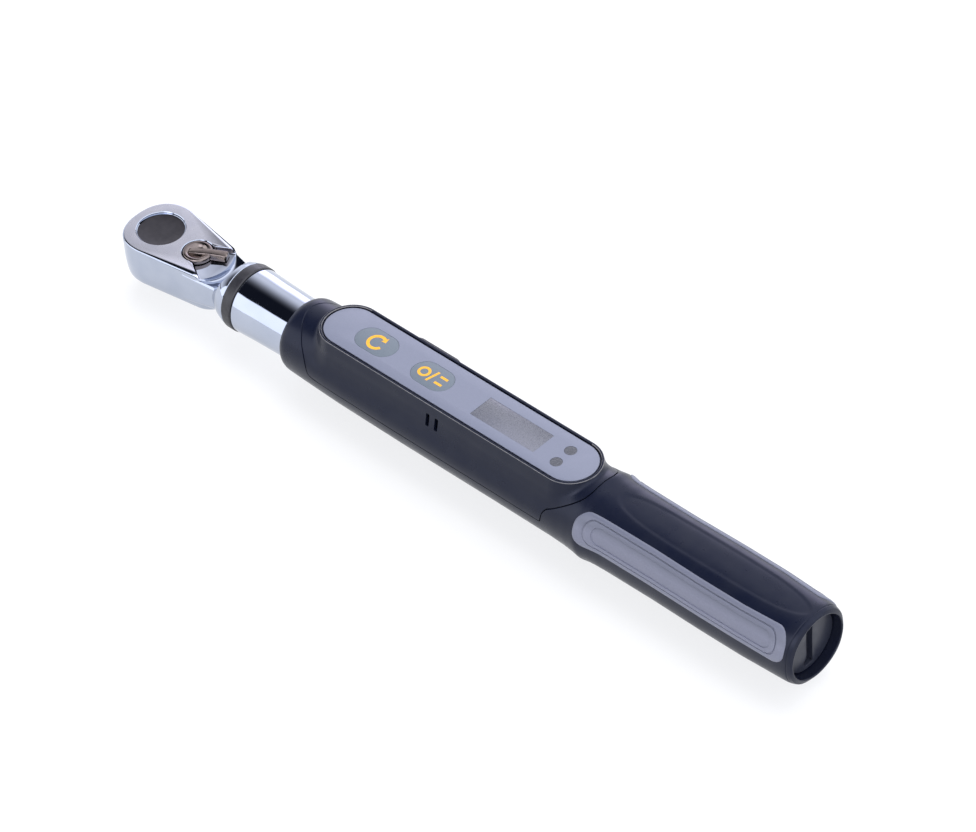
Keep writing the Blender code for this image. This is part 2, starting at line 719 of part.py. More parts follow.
def make_electronics(board_paint, black, metal, led_paint, display_paint):
    low = BOARD_TOP - BOARD_THICK
    outline = rounded_box((86.8, 184.6), (-8.0, 8.0), 3.0, 3)
    board = add_object("circuit_board", prism(outline, low, BOARD_TOP), board_paint, smooth=False)
    for i, (x, y) in enumerate(SCREW_PLACES):
        notch = turned(((6.0, 2.7), (12.0, 2.7)), "Z", 14)
        combine(board, cutter("board_notch_%d" % i, notch, (x, y, 0.0)))
    for name, x in zip(("clear_switch", "unit_switch"), BUTTON_X.values()):
        body = block((-3.0, 3.0), (-3.0, 3.0), (BOARD_TOP + 0.1, 11.2))
        switch = add_object(name, body, black, (x, 0.0, 0.0))
        stem = turned(((11.0, 1.6), (11.95, 1.6)), "Z", 14)
        combine(switch, cutter(name + "_stem", stem, (x, 0.0, 0.0)), "UNION")
    module = block((143.6, 173.4), (-6.4, 6.4), (BOARD_TOP + 0.1, 13.0))
    add_object("display_module", module, display_paint, smooth=False)
    sounder = turned(((BOARD_TOP + 0.1, 4.3), (12.6, 4.3), (12.6, 1.0)), "Z", 28)
    add_object("buzzer", sounder, black, (138.1, -1.0, 0.0))
    for name, side in (("indicator_led_near", -1.0), ("indicator_led_far", 1.0)):
        bulb = turned(((BOARD_TOP + 0.1, 1.5), (12.2, 1.5), (12.9, 1.1), (13.2, 0.5)), "Z", 12)
        add_object(name, bulb, led_paint, (LENS_X, side * LENS_Y, 0.0))
    socket = block((110.3, 118.3), (5.4, 9.6), (BOARD_TOP + 0.1, 12.3))
    shell = add_object("data_socket", socket, metal, smooth=False)
    mouth = block((110.8, 117.8), (6.2, 11.0), (10.1, 11.9))
    combine(shell, cutter("socket_mouth", mouth))


def make_port_cover(rubber):
    """A soft flap with its hinge line along its lower edge; its origin is on that line."""
    hinge_y = 12.9
    hinge_z = 6.6

    def pillow(shape):
        rings = []
        for x, swell in ((-9.7, 0.15), (-7.6, 0.7), (-5.2, 1.0), (9.6, 1.0), (11.4, 0.7), (12.3, 0.15)):
            top = 13.0 + 0.9 * swell
            section = [(11.1, top), (11.3 + swell, top), (11.9 + 0.85 * swell, 8.0)]
            section += [(12.6 + 0.6 * swell, 6.6), (12.5, 6.6), (11.9, 7.6), (11.2, 12.2)]
            rings.append([(x, y - hinge_y, z - hinge_z) for y, z in section])
        ring_skin(shape, rings)

    place = (114.3, hinge_y, hinge_z)
    flap = add_object("port_cover", pillow, rubber, place, smooth=False)
    plug = block((-8.0, 8.0), (10.3 - hinge_y, 12.0 - hinge_y), (7.9 - hinge_z, 11.9 - hinge_z))
    combine(flap, cutter("port_plug", plug, place), "UNION")


def make_screws(steel):
    for i, (x, y) in enumerate(SCREW_PLACES):
        body = turned(((-10.6, 2.0), (-9.0, 2.0), (-9.0, 1.15), (6.0, 1.15)), "Z", 14)
        screw = add_object("cover_screw_%d" % (i + 1), body, steel, (x, y, 0.0))
        drive = [polar(1.0 if corner % 2 else 0.45, 45.0 * corner) for corner in range(8)]
        combine(screw, cutter("screw_recess_%d" % i, prism(drive, -11.0, -9.8), (x, y, 0.0)))


def make_battery(plastic, liner_paint, cell_paint, metal, rubber):
    liner = ((181.4, 6.0), (181.4, 8.4), (266.5, 8.4), (266.5, 6.0))
    add_object("battery_liner", turned(liner, segments=24, closed=True), liner_paint)
    add_object("front_contact", turned(((181.7, 4.5), (182.5, 4.5)), segments=20), metal)
    for i in range(2):
        start = CELL_START + i * (CELL_LENGTH + GAP)
        cell = (
            (start, 3.6),
            (start + 0.2, CELL_RADIUS),
            (start + CELL_LENGTH - 1.2, CELL_RADIUS),
            (start + CELL_LENGTH - 1.0, 3.6),
            (start + CELL_LENGTH - 0.9, 1.9),
            (start + CELL_LENGTH, 1.8),
        )
        add_object("battery_cell_%d" % (i + 1), turned(cell, segments=20), cell_paint)
    coil = spring(3.6, 0.3, COIL_END - COIL_START, 3, "X", 12, 4)
    add_object("cap_spring", coil, metal, (COIL_START, 0.0, 0.0))
    cap_profile = (
        (267.0, 8.1),
        (270.0, 8.1),
        (270.0, 7.1),
        (272.6, 7.1),
        (272.6, 8.4),
        (CAP_SEAT + GAP, 8.4),
        (CAP_SEAT + GAP, CAP_RADIUS),
        (CAP_FACE - 0.25, CAP_RADIUS),
        (CAP_FACE, CAP_RADIUS - 0.25),
    )
    cap = add_object("battery_cap", turned(cap_profile), plastic)
    combine(cap, cutter("cap_hollow", turned(((260.0, 5.6), (276.2, 5.6)), phase=0.5)))
    combine(cap, cutter("coin_slot", block((277.6, 285.0), (-1.4, 1.4), (-8.6, 8.6))))

    def seal(shape):
        rings = []
        for i in range(24):
            angle = 15.0 * i
            ring = []
            for j in range(6):
                along, out = polar(0.7, 60.0 * j)
                across, up = polar(7.98 + out, angle)
                ring.append((271.3 + along, across, up))
            rings.append(ring)
        ring_skin(shape, rings, closed=True)

    add_object("cap_seal", seal, rubber)


def main():
    chrome = material("chrome", (0.80, 0.81, 0.84), 0.12, 1.0)
    steel = material("steel", (0.55, 0.55, 0.57), 0.35, 1.0)
    dark_steel = material("dark_steel", (0.20, 0.20, 0.22), 0.4, 1.0)
    nickel = material("black_nickel", (0.28, 0.24, 0.23), 0.25, 1.0)
    disc_paint = material("black_oxide", (0.045, 0.042, 0.055), 0.5, 0.6)
    plastic = material("body_plastic", (0.055, 0.06, 0.085), 0.55)
    rubber = material("black_rubber", (0.035, 0.036, 0.045), 0.6)
    grip_rubber = material("grip_rubber", (0.22, 0.24, 0.30), 0.45)
    panel_paint = material("panel_grey", (0.36, 0.38, 0.50), 0.45)
    key_paint = material("key_grey", (0.20, 0.25, 0.31), 0.45)
    glass = material("display_clear", (0.30, 0.30, 0.31), 0.15)
    lens_paint = material("indicator_lens", (0.12, 0.12, 0.15), 0.2)
    board_paint = material("board_green", (0.03, 0.16, 0.08), 0.5)
    black = material("component_black", (0.03, 0.03, 0.03), 0.5)
    led_paint = material("led_clear", (0.75, 0.75, 0.72), 0.2)
    display_paint = material("display_grey", (0.35, 0.36, 0.36), 0.4)
    liner_paint = material("liner_white", (0.55, 0.55, 0.52), 0.5)
    cell_paint = material("cell_sleeve", (0.10, 0.22, 0.40), 0.35)
    gauge_paint = material("gauge_film", (0.60, 0.38, 0.10), 0.4)

    make_head(chrome)
    make_drive(steel, dark_steel)
    make_head_trim(disc_paint, chrome)
    make_lever(nickel, dark_steel)
    make_pawl(steel, dark_steel)
    make_tube(chrome, rubber)
    make_beam(steel, dark_steel, gauge_paint)
    make_housing(plastic)
    make_top_cover(plastic)
    make_keypad(panel_paint, key_paint, glass, lens_paint)
    make_electronics(board_paint, black, steel, led_paint, display_paint)
    make_port_cover(rubber)
    make_screws(dark_steel)
    make_grips(grip_rubber)
    make_battery(plastic, liner_paint, cell_paint, steel, rubber)


clear_scene()
AXIS = bpy.data.objects.new("wrench_axis", None)
bpy.context.scene.collection.objects.link(AXIS)
AXIS.location = (0.0, 0.0, AXIS_HEIGHT * MM)
main()
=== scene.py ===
"""Digital torque wrench: detailed surfaces, materials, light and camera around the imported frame.

Outlines are in millimetres from the wrench's long axis: x runs from the head's centre to the
battery cap, y to the far side, and z up from the axis. place() turns them into metres.
"""

import json
from math import cos, exp, pi, radians, sin, sqrt

import bmesh
import bpy
import numpy as np
from mathutils import Matrix, Vector


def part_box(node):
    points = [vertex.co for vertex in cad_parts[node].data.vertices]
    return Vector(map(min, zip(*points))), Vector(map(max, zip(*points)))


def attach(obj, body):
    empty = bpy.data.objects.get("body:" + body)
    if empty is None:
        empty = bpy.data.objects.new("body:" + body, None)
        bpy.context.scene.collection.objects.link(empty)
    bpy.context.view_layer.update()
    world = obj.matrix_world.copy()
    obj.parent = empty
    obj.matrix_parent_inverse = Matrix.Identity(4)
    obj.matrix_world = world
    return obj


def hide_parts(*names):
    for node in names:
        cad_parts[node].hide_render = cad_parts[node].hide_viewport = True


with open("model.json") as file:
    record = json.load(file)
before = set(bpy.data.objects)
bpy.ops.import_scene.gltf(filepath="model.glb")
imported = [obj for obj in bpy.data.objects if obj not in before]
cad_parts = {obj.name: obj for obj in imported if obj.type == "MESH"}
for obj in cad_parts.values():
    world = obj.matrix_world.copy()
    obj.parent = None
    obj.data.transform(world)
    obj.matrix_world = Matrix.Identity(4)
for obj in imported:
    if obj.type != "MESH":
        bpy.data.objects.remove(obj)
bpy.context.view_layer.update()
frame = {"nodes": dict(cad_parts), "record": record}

MM = 0.001


def span(node, axis, offset=0.0):
    """Lowest and highest place of a frame node along an axis, in millimetres from offset."""
    low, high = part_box(node)
    return low[axis] / MM - offset, high[axis] / MM - offset


AXIS_Z = sum(span("outer_tube", 2)) / 2.0

# Panel, keys and windows, from the frame
PANEL_TOP = span("overlay_panel", 2, AXIS_Z)[1]
PANEL_RADIUS = span("overlay_panel", 1)[1]
RIM_START = span("overlay_panel", 0)[0] + PANEL_RADIUS
RIM_END = span("overlay_panel", 0)[1] - PANEL_RADIUS
KEY_X = {name: sum(span(name, 0)) / 2.0 for name in ("clear_button", "unit_button")}
KEY_HALF = span("clear_button", 0)[1] - KEY_X["clear_button"]
KEY_RADIUS = span("clear_button", 1)[1]
KEY_BOTTOM = span("clear_button", 2, AXIS_Z)[0]
WINDOW_X = span("display_window", 0)
WINDOW_HALF = span("display_window", 1)[1]
LENS_X = sum(span("indicator_lens_near", 0)) / 2.0
LENS_Y = sum(span("indicator_lens_far", 1)) / 2.0
LENS_RADIUS = span("indicator_lens_far", 1)[1] - LENS_Y
ICON_SCALE = 1.33

# Top cover
RIM_TOP = PANEL_TOP + 0.25
RIM_ROUND = 0.3
GAP_RADIUS = PANEL_RADIUS + 0.62
RECESS_FLOOR = PANEL_TOP - 0.7
COVER_INSIDE = ((8.95, 4.0), (8.85, 13.3))  # radius, height
BUZZER_SLOTS = (132.5, 136.2)
PORT_X = (105.9, 122.7)
PORT_LEVELS = (6.7, 12.4)
PLUG_X = (106.4, 122.2)
PLUG_LEVELS = (7.95, 11.85)
WALL_LEVELS = (
    # height, half width
    (-2.0, 12.9), (2.0, 12.5), (5.0, 12.05), (7.5, 11.55), (12.4, 10.85), (15.6, 10.3),
    (16.1, 5.0),
)
FILLET = 1.7
SCOOP = 0.75
SEAM_LEVEL = -1.06
SEAM_GAP = 0.36
SEAM_REAR_SETBACK = 3.4
SEAM_FRONT = (
    (84.6, -1.06), (83.2, -1.0), (82.0, -0.75), (80.8, 0.0), (79.8, 2.6), (78.2, 5.6),
    (76.4, 7.9), (74.7, 9.9), (72.8, 11.6), (71.3, 12.75), (70.45, 13.3),
)
SEAM_REAR = (
    (181.6, -1.06), (182.1, -0.7), (182.5, 1.2), (182.9, 2.84), (184.2, 4.8), (186.0, 5.9),
    (189.2, 8.0), (192.0, 9.9), (194.4, 11.6), (196.0, 13.0), (197.0, 14.35),
)

# Body outline: x, half width, squareness of the section (2 is round)
BODY_KEYS = (
    (66.4, 11.9, 2.0), (67.0, 12.5, 2.0), (67.8, 12.85, 2.0), (69.0, 13.1, 2.0),
    (74.0, 13.3, 2.0), (80.0, 13.5, 2.0), (92.0, 13.85, 2.0), (120.0, 14.05, 2.0),
    (160.0, 13.95, 2.0), (184.0, 14.0, 2.0), (190.0, 14.2, 2.0), (194.0, 14.5, 2.02),
    (197.2, 14.95, 2.05), (200.2, 14.2, 2.15), (203.0, 13.65, 2.35), (207.0, 13.2, 2.6),
    (226.0, 13.1, 2.6), (245.0, 13.3, 2.6), (262.0, 13.25, 2.6), (272.0, 13.05, 2.5),
    (277.0, 12.95, 2.45), (280.0, 12.85, 2.45), (281.8, 12.6, 2.4), (282.6, 12.25, 2.35),
)
HOUSING_FRONT = BODY_KEYS[0][0]
HOUSING_END = BODY_KEYS[-1][0]


def place(points):
    """Millimetres from the wrench's axis to metres in the row's frame."""
    moved = np.array(points, float)
    moved[..., 2] += AXIS_Z
    return moved * MM


# ---- materials


def mix_colours(tree, factor, first, second):
    """Mix two colours by a factor; each is a plain colour or another node's output."""
    made = tree.nodes.new("ShaderNodeMix")
    made.data_type = "RGBA"
    sockets = {socket.identifier: socket for socket in made.inputs}
    tree.links.new(factor, sockets["Factor_Float"])
    for value, name in ((first, "A_Color"), (second, "B_Color")):
        if isinstance(value, bpy.types.NodeSocket):
            tree.links.new(value, sockets[name])
        else:
            sockets[name].default_value = (*value, 1.0)
    return next(socket for socket in made.outputs if socket.identifier == "Result_Color")


class Paint:
    """A node material that starts as a Principled shader and gains procedural detail."""

    def __init__(self, name, colour, roughness, inputs):
        self.material = bpy.data.materials.new(name)
        self.material.use_nodes = True
        self.tree = self.material.node_tree
        self.shader = self.tree.nodes["Principled BSDF"]
        self.shader.inputs["Base Color"].default_value = (*colour, 1.0)
        self.shader.inputs["Roughness"].default_value = roughness
        for socket, value in inputs.items():
            self.shader.inputs[socket].default_value = value
        self.colour = colour
        self.coordinates = self.node("ShaderNodeTexCoord").outputs["Object"]

    def node(self, kind, **inputs):
        """A new node; an input is a value or another node's output, with _ for a space."""
        made = self.tree.nodes.new(kind)
        for name, value in inputs.items():
            socket = made.inputs[name.replace("_", " ")]
            if isinstance(value, bpy.types.NodeSocket):
                self.tree.links.new(value, socket)
            else:
                socket.default_value = value
        return made

    def link(self, output, socket):
        self.tree.links.new(output, self.shader.inputs[socket])

    def noise(self, size_mm, detail, stretch=(1.0, 1.0, 1.0)):
        """Noise whose features are about size_mm across, drawn out along the larger stretches."""
        scale = [1.0 / (size_mm * MM * part) for part in stretch]
        mapping = self.node("ShaderNodeMapping", Vector=self.coordinates, Scale=scale)
        settings = {"Vector": mapping.outputs["Vector"], "Scale": 1.0, "Detail": detail}
        return self.node("ShaderNodeTexNoise", **settings).outputs["Fac"]

    def ramp(self, value, low, high, start=0.0, end=1.0):
        """Low to high while the value goes from start to end."""
        limits = {"From_Min": start, "From_Max": end, "To_Min": low, "To_Max": high}
        return self.node("ShaderNodeMapRange", Value=value, **limits).outputs["Result"]

    def tint(self, factor, other):
        """Go from the colour so far to another one where the factor is 1."""
        self.colour = mix_colours(self.tree, factor, self.colour, other)
        self.link(self.colour, "Base Color")

    def mottle(self, size_mm, other, detail=2.0):
        """Colour that wanders between the paint's own and another one."""
        self.tint(self.ramp(self.noise(size_mm, detail), 0.0, 1.0, 0.35, 0.65), other)

    def wear(self, size_mm, low, high, detail=2.0):
        """Roughness that wanders between low and high."""
        self.link(self.ramp(self.noise(size_mm, detail), low, high, 0.3, 0.7), "Roughness")

    def grain(self, size_mm, depth_mm, detail=2.0, **options):
        """Fine relief, the last detail; gives back the finished material."""
        height = self.noise(size_mm, detail, **options)
        bump = self.node("ShaderNodeBump", Height=height, Strength=1.0, Distance=depth_mm * MM)
        self.link(bump.outputs["Normal"], "Normal")
        return self.material


METAL = {"Metallic": 1.0}
COOL_SHEEN = {"Specular IOR Level": 0.25, "Specular Tint": (0.80, 0.84, 1.0, 1.0)}
PAINTS = {
    # name: (colour, roughness, other inputs), then what mottle, wear and grain are given
    "polished_chrome": (
        ((0.44, 0.478, 0.57), 0.06, METAL),
        (9.0, (0.41, 0.45, 0.545)), (3.0, 0.03, 0.09, 4.0), (14.0, 0.012, 1.0),
    ),
    "satin_chrome": (
        ((0.515, 0.52, 0.575), 0.3, METAL),
        (5.0, (0.48, 0.488, 0.55), 3.0), (2.0, 0.24, 0.36, 4.0), (0.2, 0.004, 3.0),
    ),
    "black_nickel": (
        ((0.175, 0.145, 0.14), 0.16, METAL),
        (3.0, (0.245, 0.205, 0.188)), (1.2, 0.10, 0.24, 4.0), (0.6, 0.006, 3.0),
    ),
    "black_oxide": (
        ((0.015, 0.014, 0.018), 0.40, {"Metallic": 0.2, "Specular IOR Level": 0.35}),
        (2.5, (0.021, 0.0195, 0.024), 4.0), (1.5, 0.36, 0.52, 4.0), (0.25, 0.01),
    ),
    "moulded_plastic": (
        ((0.0045, 0.0063, 0.016), 0.28, COOL_SHEEN),
        (6.0, (0.007, 0.0088, 0.018), 3.0), (5.0, 0.26, 0.34, 5.0), (0.34, 0.009),
    ),
    # The same plastic, lighter, as a painted highlight on the rim's raised outer edge
    "rim_edge_highlight": (
        ((0.10, 0.10, 0.11), 0.34, {}),
        (1.5, (0.16, 0.155, 0.16), 3.0), (1.0, 0.28, 0.42), (0.3, 0.008),
    ),
    "smooth_plastic": (
        ((0.016, 0.0185, 0.031), 0.32, {"Specular IOR Level": 0.38}),
        (4.0, (0.020, 0.023, 0.036)), (3.0, 0.28, 0.38, 4.0), (0.4, 0.008),
    ),
    "black_rubber": (
        ((0.013, 0.013, 0.017), 0.42, {}),
        (2.0, (0.020, 0.020, 0.025), 3.0), (1.5, 0.36, 0.50, 3.0), (0.5, 0.01),
    ),
    "panel_film": (
        ((0.137, 0.149, 0.203), 0.42, {}),
        (0.35, (0.145, 0.158, 0.214)), (2.0, 0.38, 0.48, 3.0), (0.25, 0.006),
    ),
    "key_film": (
        ((0.094, 0.115, 0.143), 0.42, {}),
        (0.35, (0.105, 0.127, 0.157)), (2.0, 0.38, 0.48, 3.0), (0.25, 0.006),
    ),
    "smoked_lens": (
        ((0.040, 0.043, 0.055), 0.25, {"Coat Weight": 0.4, "Coat Roughness": 0.1}),
        (0.4, (0.066, 0.070, 0.086), 3.0), (0.5, 0.2, 0.34), (0.3, 0.004),
    ),
}
# Painted shade: the heights over which the grips darken towards their upper edge
GRIP_PAINTED_SHADE = ((AXIS_Z + 6.4) * MM, (AXIS_Z + 8.4) * MM)
# Painted shade: how far in from its front end the display darkens
DISPLAY_PAINTED_SHADE = 14.0


def table_paint(name):
    """The material of one row of PAINTS."""
    start, mottle, wear, grain = PAINTS[name]
    paint = Paint(name, *start)
    paint.mottle(*mottle)
    paint.wear(*wear)
    return paint.grain(*grain)


def grip_rubber():
    """Soft rubber, with painted shade that darkens it towards its upper edge."""
    paint = Paint("grip_rubber", (0.150, 0.158, 0.212), 0.42, {})
    paint.mottle(12.0, (0.160, 0.167, 0.221), 3.0)
    paint.mottle(0.5, (0.140, 0.148, 0.201))
    # Painted shade: the colour darkens with height towards the upper edge
    height = paint.node("ShaderNodeSeparateXYZ", Vector=paint.coordinates).outputs["Z"]
    paint.tint(paint.ramp(height, 0.0, 0.8, *GRIP_PAINTED_SHADE), (0.098, 0.106, 0.146))
    paint.wear(7.0, 0.36, 0.50, 4.0)
    return paint.grain(0.35, 0.008)


def amber_print():
    paint = Paint("amber_print", (0.62, 0.32, 0.022), 0.45, {})
    paint.mottle(0.5, (0.57, 0.28, 0.018))
    return paint.grain(0.25, 0.004)


def display_film():
    """A switched-off liquid crystal display behind its clear window, with painted shade darkening
    it towards two edges.
    """
    clear = {"Coat Weight": 0.35, "Coat Roughness": 0.12}
    paint = Paint("display_film", (0.12, 0.125, 0.16), 0.3, clear)
    place_on = paint.node("ShaderNodeSeparateXYZ", Vector=paint.coordinates).outputs
    # Painted shade: darker towards the far side and towards the front end
    across = paint.ramp(place_on["Y"], 0.0, 1.0, -WINDOW_HALF * MM, WINDOW_HALF * MM)
    reach = (WINDOW_X[0] * MM, (WINDOW_X[0] + DISPLAY_PAINTED_SHADE) * MM)
    along = paint.ramp(place_on["X"], 0.7, 0.0, *reach)
    paint.colour = mix_colours(paint.tree, across, (0.128, 0.133, 0.170), (0.040, 0.044, 0.062))
    paint.colour = mix_colours(paint.tree, along, paint.colour, (0.030, 0.034, 0.050))
    paint.tint(paint.ramp(paint.noise(0.3, 3.0), 0.0, 0.6, 0.4, 0.66), (0.165, 0.17, 0.195))
    paint.wear(0.4, 0.22, 0.36)
    return paint.grain(0.22, 0.004)


def machined_steel(name, colour, roughness):
    paint = Paint(name, colour, roughness, METAL)
    paint.mottle(2.0, tuple(0.8 * part for part in colour), 4.0)
    paint.wear(0.8, roughness - 0.08, roughness + 0.1, 4.0)
    return paint.grain(0.25, 0.006, stretch=(6.0, 1.0, 1.0))


def moulded_part(name, colour, roughness=0.45):
    paint = Paint(name, colour, roughness, {})
    paint.mottle(1.5, tuple(0.82 * part for part in colour), 3.0)
    paint.wear(1.5, roughness - 0.07, roughness + 0.08, 3.0)
    return paint.grain(0.3, 0.01)


def circuit_board_paint():
    """Green solder mask with copper tracks showing through as lighter lines."""
    mask = (0.012, 0.075, 0.035)
    paint = Paint("circuit_board_paint", mask, 0.35, {})
    options = {"Vector": paint.coordinates, "Scale": 420.0, "Mortar_Size": 0.03}
    paint.tint(paint.node("ShaderNodeTexBrick", **options).outputs["Fac"], (0.03, 0.15, 0.07))
    paint.wear(1.0, 0.28, 0.42)
    return paint.grain(0.5, 0.01)


# ---- mesh helpers


def add_object(name, data):
    """A new object in the scene."""
    made = bpy.data.objects.new(name, data)
    bpy.context.scene.collection.objects.link(made)
    return made


def finish_mesh(name, mesh, paint, body, replaced=(), sharp=32.0):
    """A finished piece that rides on a body and stands for the frame nodes it replaces."""
    mesh.shade_smooth()
    mesh.set_sharp_from_angle(angle=radians(sharp))
    made = add_object(name, mesh)
    mesh.materials.append(paint)
    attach(made, body)
    if replaced:
        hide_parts(*replaced)
    return made


def grid_mesh(name, rings, close=False, cap_end=True):
    """Quads between rings of points in millimetres; rings is (rows, columns, 3).

    The first and last rings are capped, unless close joins the last one to the first.
    """
    rings = np.array(rings, float)
    rows, columns = rings.shape[:2]
    index = np.arange(rows * columns).reshape(rows, columns)
    upper = index if close else index[:-1]
    lower = np.roll(index, -1, axis=0) if close else index[1:]
    quads = [upper, np.roll(upper, -1, axis=1), np.roll(lower, -1, axis=1), lower]
    faces = np.stack(quads, axis=-1).reshape(-1, 4).tolist()
    if not close:
        faces.append(index[0].tolist())
        if cap_end:
            faces.append(index[-1][::-1].tolist())
    mesh = bpy.data.meshes.new(name)
    mesh.from_pydata(place(rings).reshape(-1, 3).tolist(), [], faces)
    clean(mesh)
    return mesh


def clean(mesh, distance=1e-7):
    shape = bmesh.new()
    shape.from_mesh(mesh)
    bmesh.ops.remove_doubles(shape, verts=shape.verts, dist=distance)
    bmesh.ops.dissolve_degenerate(shape, edges=shape.edges, dist=distance)
    bmesh.ops.recalc_face_normals(shape, faces=shape.faces)
    shape.to_mesh(mesh)
    shape.free()


def turned(name, profile, axis="X", centre=(0.0, 0.0, 0.0), segments=128):
    """A solid of revolution from (along, radius) points, about a line along X or Z."""
    angles = 2.0 * pi * np.arange(segments) / segments
    rings = []
    for along, radius in profile:
        across = radius * np.cos(angles)
        up = radius * np.sin(angles)
        level = np.full(segments, along)
        ring = (level, across, up) if axis == "X" else (across, up, level)
        rings.append(np.stack(ring, axis=-1) + np.array(centre))
    return grid_mesh(name, rings)


def rounded(profile, radius, steps=5):
    """Round the corners of an open (along, radius) profile; its two end points stay."""
    points = [Vector(point) for point in profile]
    made = [profile[0]]
    for before, corner, after in zip(points, points[1:], points[2:]):
        reach = min(radius, 0.45 * (corner - before).length, 0.45 * (after - corner).length)
        first = corner + (before - corner).normalized() * reach
        last = corner + (after - corner).normalized() * reach
        for i in range(steps + 1):
            t = i / steps
            made.append(tuple(first.lerp(corner, t).lerp(corner.lerp(last, t), t)))
    made.append(profile[-1])
    return made


def raised(outline, level, axis=2):
    """A flat outline as points in space, at a level along an axis."""
    return np.insert(np.array(outline, float), axis, level, axis=1)


def prism(name, outline, low, high, axis=2):
    """A flat outline pushed from low to high along an axis."""
    return grid_mesh(name, [raised(outline, low, axis), raised(outline, high, axis)])


def grow_outline(outline, distance):
    """Push a closed outline outwards along the average normal at each point."""
    points = np.array(outline, float)
    ahead = np.roll(points, -1, axis=0) - points
    ahead /= np.linalg.norm(ahead, axis=1, keepdims=True)
    behind = np.roll(ahead, 1, axis=0)
    normal = np.stack([(ahead + behind)[:, 1], -(ahead + behind)[:, 0]], axis=-1)
    normal /= np.linalg.norm(normal, axis=1, keepdims=True)
    x, y = points.T
    area = np.sum(x * np.roll(y, -1) - np.roll(x, -1) * y)
    return points + normal * distance * (1.0 if area > 0.0 else -1.0)


def stadium(start, end, radius, points=24):
    """A slot outline along x with half-round ends centred at start and end."""
    outline = []
    for centre, first in ((start, 0.5), (end, 1.5)):
        for i in range(points + 1):
            angle = pi * (first + i / points)
            outline.append((centre + radius * cos(angle), radius * sin(angle)))
    return outline


def box_outline(x_range, y_range):
    return [(x, y) for x, y in zip((*x_range, *x_range[::-1]), np.repeat(y_range, 2))]


def with_modifier(mesh, kind, **settings):
    """The mesh as a modifier leaves it, as a new mesh."""
    part = add_object("modified", mesh)
    modifier = part.modifiers.new("modifier", kind)
    for name, value in settings.items():
        setattr(modifier, name, value)
    bpy.context.view_layer.update()
    evaluated = part.evaluated_get(bpy.context.evaluated_depsgraph_get())
    made = bpy.data.meshes.new_from_object(evaluated)
    bpy.data.objects.remove(part)
    return made


def boolean(mesh, tool_mesh, operation="DIFFERENCE"):
    """Two meshes combined into a new one."""
    tool = add_object("boolean_tool", tool_mesh)
    made = with_modifier(mesh, "BOOLEAN", object=tool, operation=operation, solver="EXACT")
    bpy.data.objects.remove(tool)
    return made


def joined(meshes):
    """Several separate closed meshes as one, for a single Boolean."""
    shape = bmesh.new()
    for mesh in meshes:
        shape.from_mesh(mesh)
    made = bpy.data.meshes.new("joined")
    shape.to_mesh(made)
    shape.free()
    return made


def bevelled(mesh, width_mm, segments, angle=40.0):
    """The mesh with its sharp edges rounded."""
    edges = {"limit_method": "ANGLE", "angle_limit": radians(angle)}
    return with_modifier(mesh, "BEVEL", width=width_mm * MM, segments=segments, **edges)


# ---- body surface


def smooth_table():
    """Half width and squareness of the body at fine steps along x, with corners eased."""
    keys = np.array(BODY_KEYS)
    step, reach = 0.25, 8
    x = np.arange(keys[0, 0], keys[-1, 0] + step, step)
    weight = np.exp(-((np.arange(-reach, reach + 1) / 3.2) ** 2))
    eased = [x]
    for column in (1, 2):
        value = np.interp(x, keys[:, 0], keys[:, column])
        padded = np.pad(value, reach, mode="reflect", reflect_type="odd")
        eased.append(np.convolve(padded, weight / weight.sum(), mode="valid"))
    return eased


TABLE_X, TABLE_HALF, TABLE_POWER = smooth_table()


def body_radius(x, angle):
    """Distance of the body's surface from the axis, at an angle from +y in radians."""
    half = np.interp(x, TABLE_X, TABLE_HALF)
    power = np.interp(x, TABLE_X, TABLE_POWER)
    c = np.abs(np.cos(angle))
    s = np.abs(np.sin(angle))
    return half / (c**power + s**power) ** (1.0 / power)


def around_axis(x, radius, angle):
    """Points at a distance from the wrench's axis and an angle from +y."""
    along = np.broadcast_to(x, np.shape(angle))
    return np.stack([along, radius * np.cos(angle), radius * np.sin(angle)], axis=-1)


def ease(value, start, end):
    """0 before start, 1 after end, and a smooth step between them."""
    part = np.clip((value - start) / (end - start), 0.0, 1.0)
    return part * part * (3.0 - 2.0 * part)


def wall_radius(level):
    """Half width of the top cover's upright wall at a height."""
    levels = np.array(WALL_LEVELS)
    return np.interp(level, levels[:, 0], levels[:, 1])


def cover_gap(x, angle, radius):
    """Signed distance, roughly, from a point to the top cover's outer surface."""
    y = radius * np.cos(angle)
    z = radius * np.sin(angle)
    side = np.abs(np.arctan2(z, np.abs(y)))
    window = ease(x, 75.0, 86.0) * (1.0 - ease(x, 184.0, 195.0))
    scoop = SCOOP * window * np.exp(-(((np.degrees(side) - 27.0) / 13.0) ** 2))
    to_body = radius - body_radius(x, angle) + scoop
    wall = wall_radius(z)
    along = np.maximum(np.maximum(RIM_START - x, x - RIM_END), 0.0)
    to_wall = np.hypot(along, y) - wall
    near = np.maximum(FILLET - np.abs(to_body - to_wall), 0.0) / FILLET
    return np.minimum(to_body, to_wall) - near * near * FILLET * 0.25


def halving(inside, low, high, shape):
    """The value between low and high up to which inside holds, for each place of the shape."""
    low, high = np.full(shape, low), np.full(shape, high)
    for _ in range(34):
        middle = 0.5 * (low + high)
        held = inside(middle)
        low = np.where(held, middle, low)
        high = np.where(held, high, middle)
    return 0.5 * (low + high)


def cover_radius(x, angle):
    """Distance of the top cover's surface from the axis."""
    return halving(lambda radius: cover_gap(x, angle, radius) < 0.0, 9.0, 19.0, np.shape(x))


def angle_at_height(x, z):
    """Angle from +y, on the far side, where the body's surface is at height z."""
    def under(angle):
        return body_radius(x, angle) * np.sin(angle) < z

    return halving(under, -0.6, 0.5 * pi, np.shape(x))


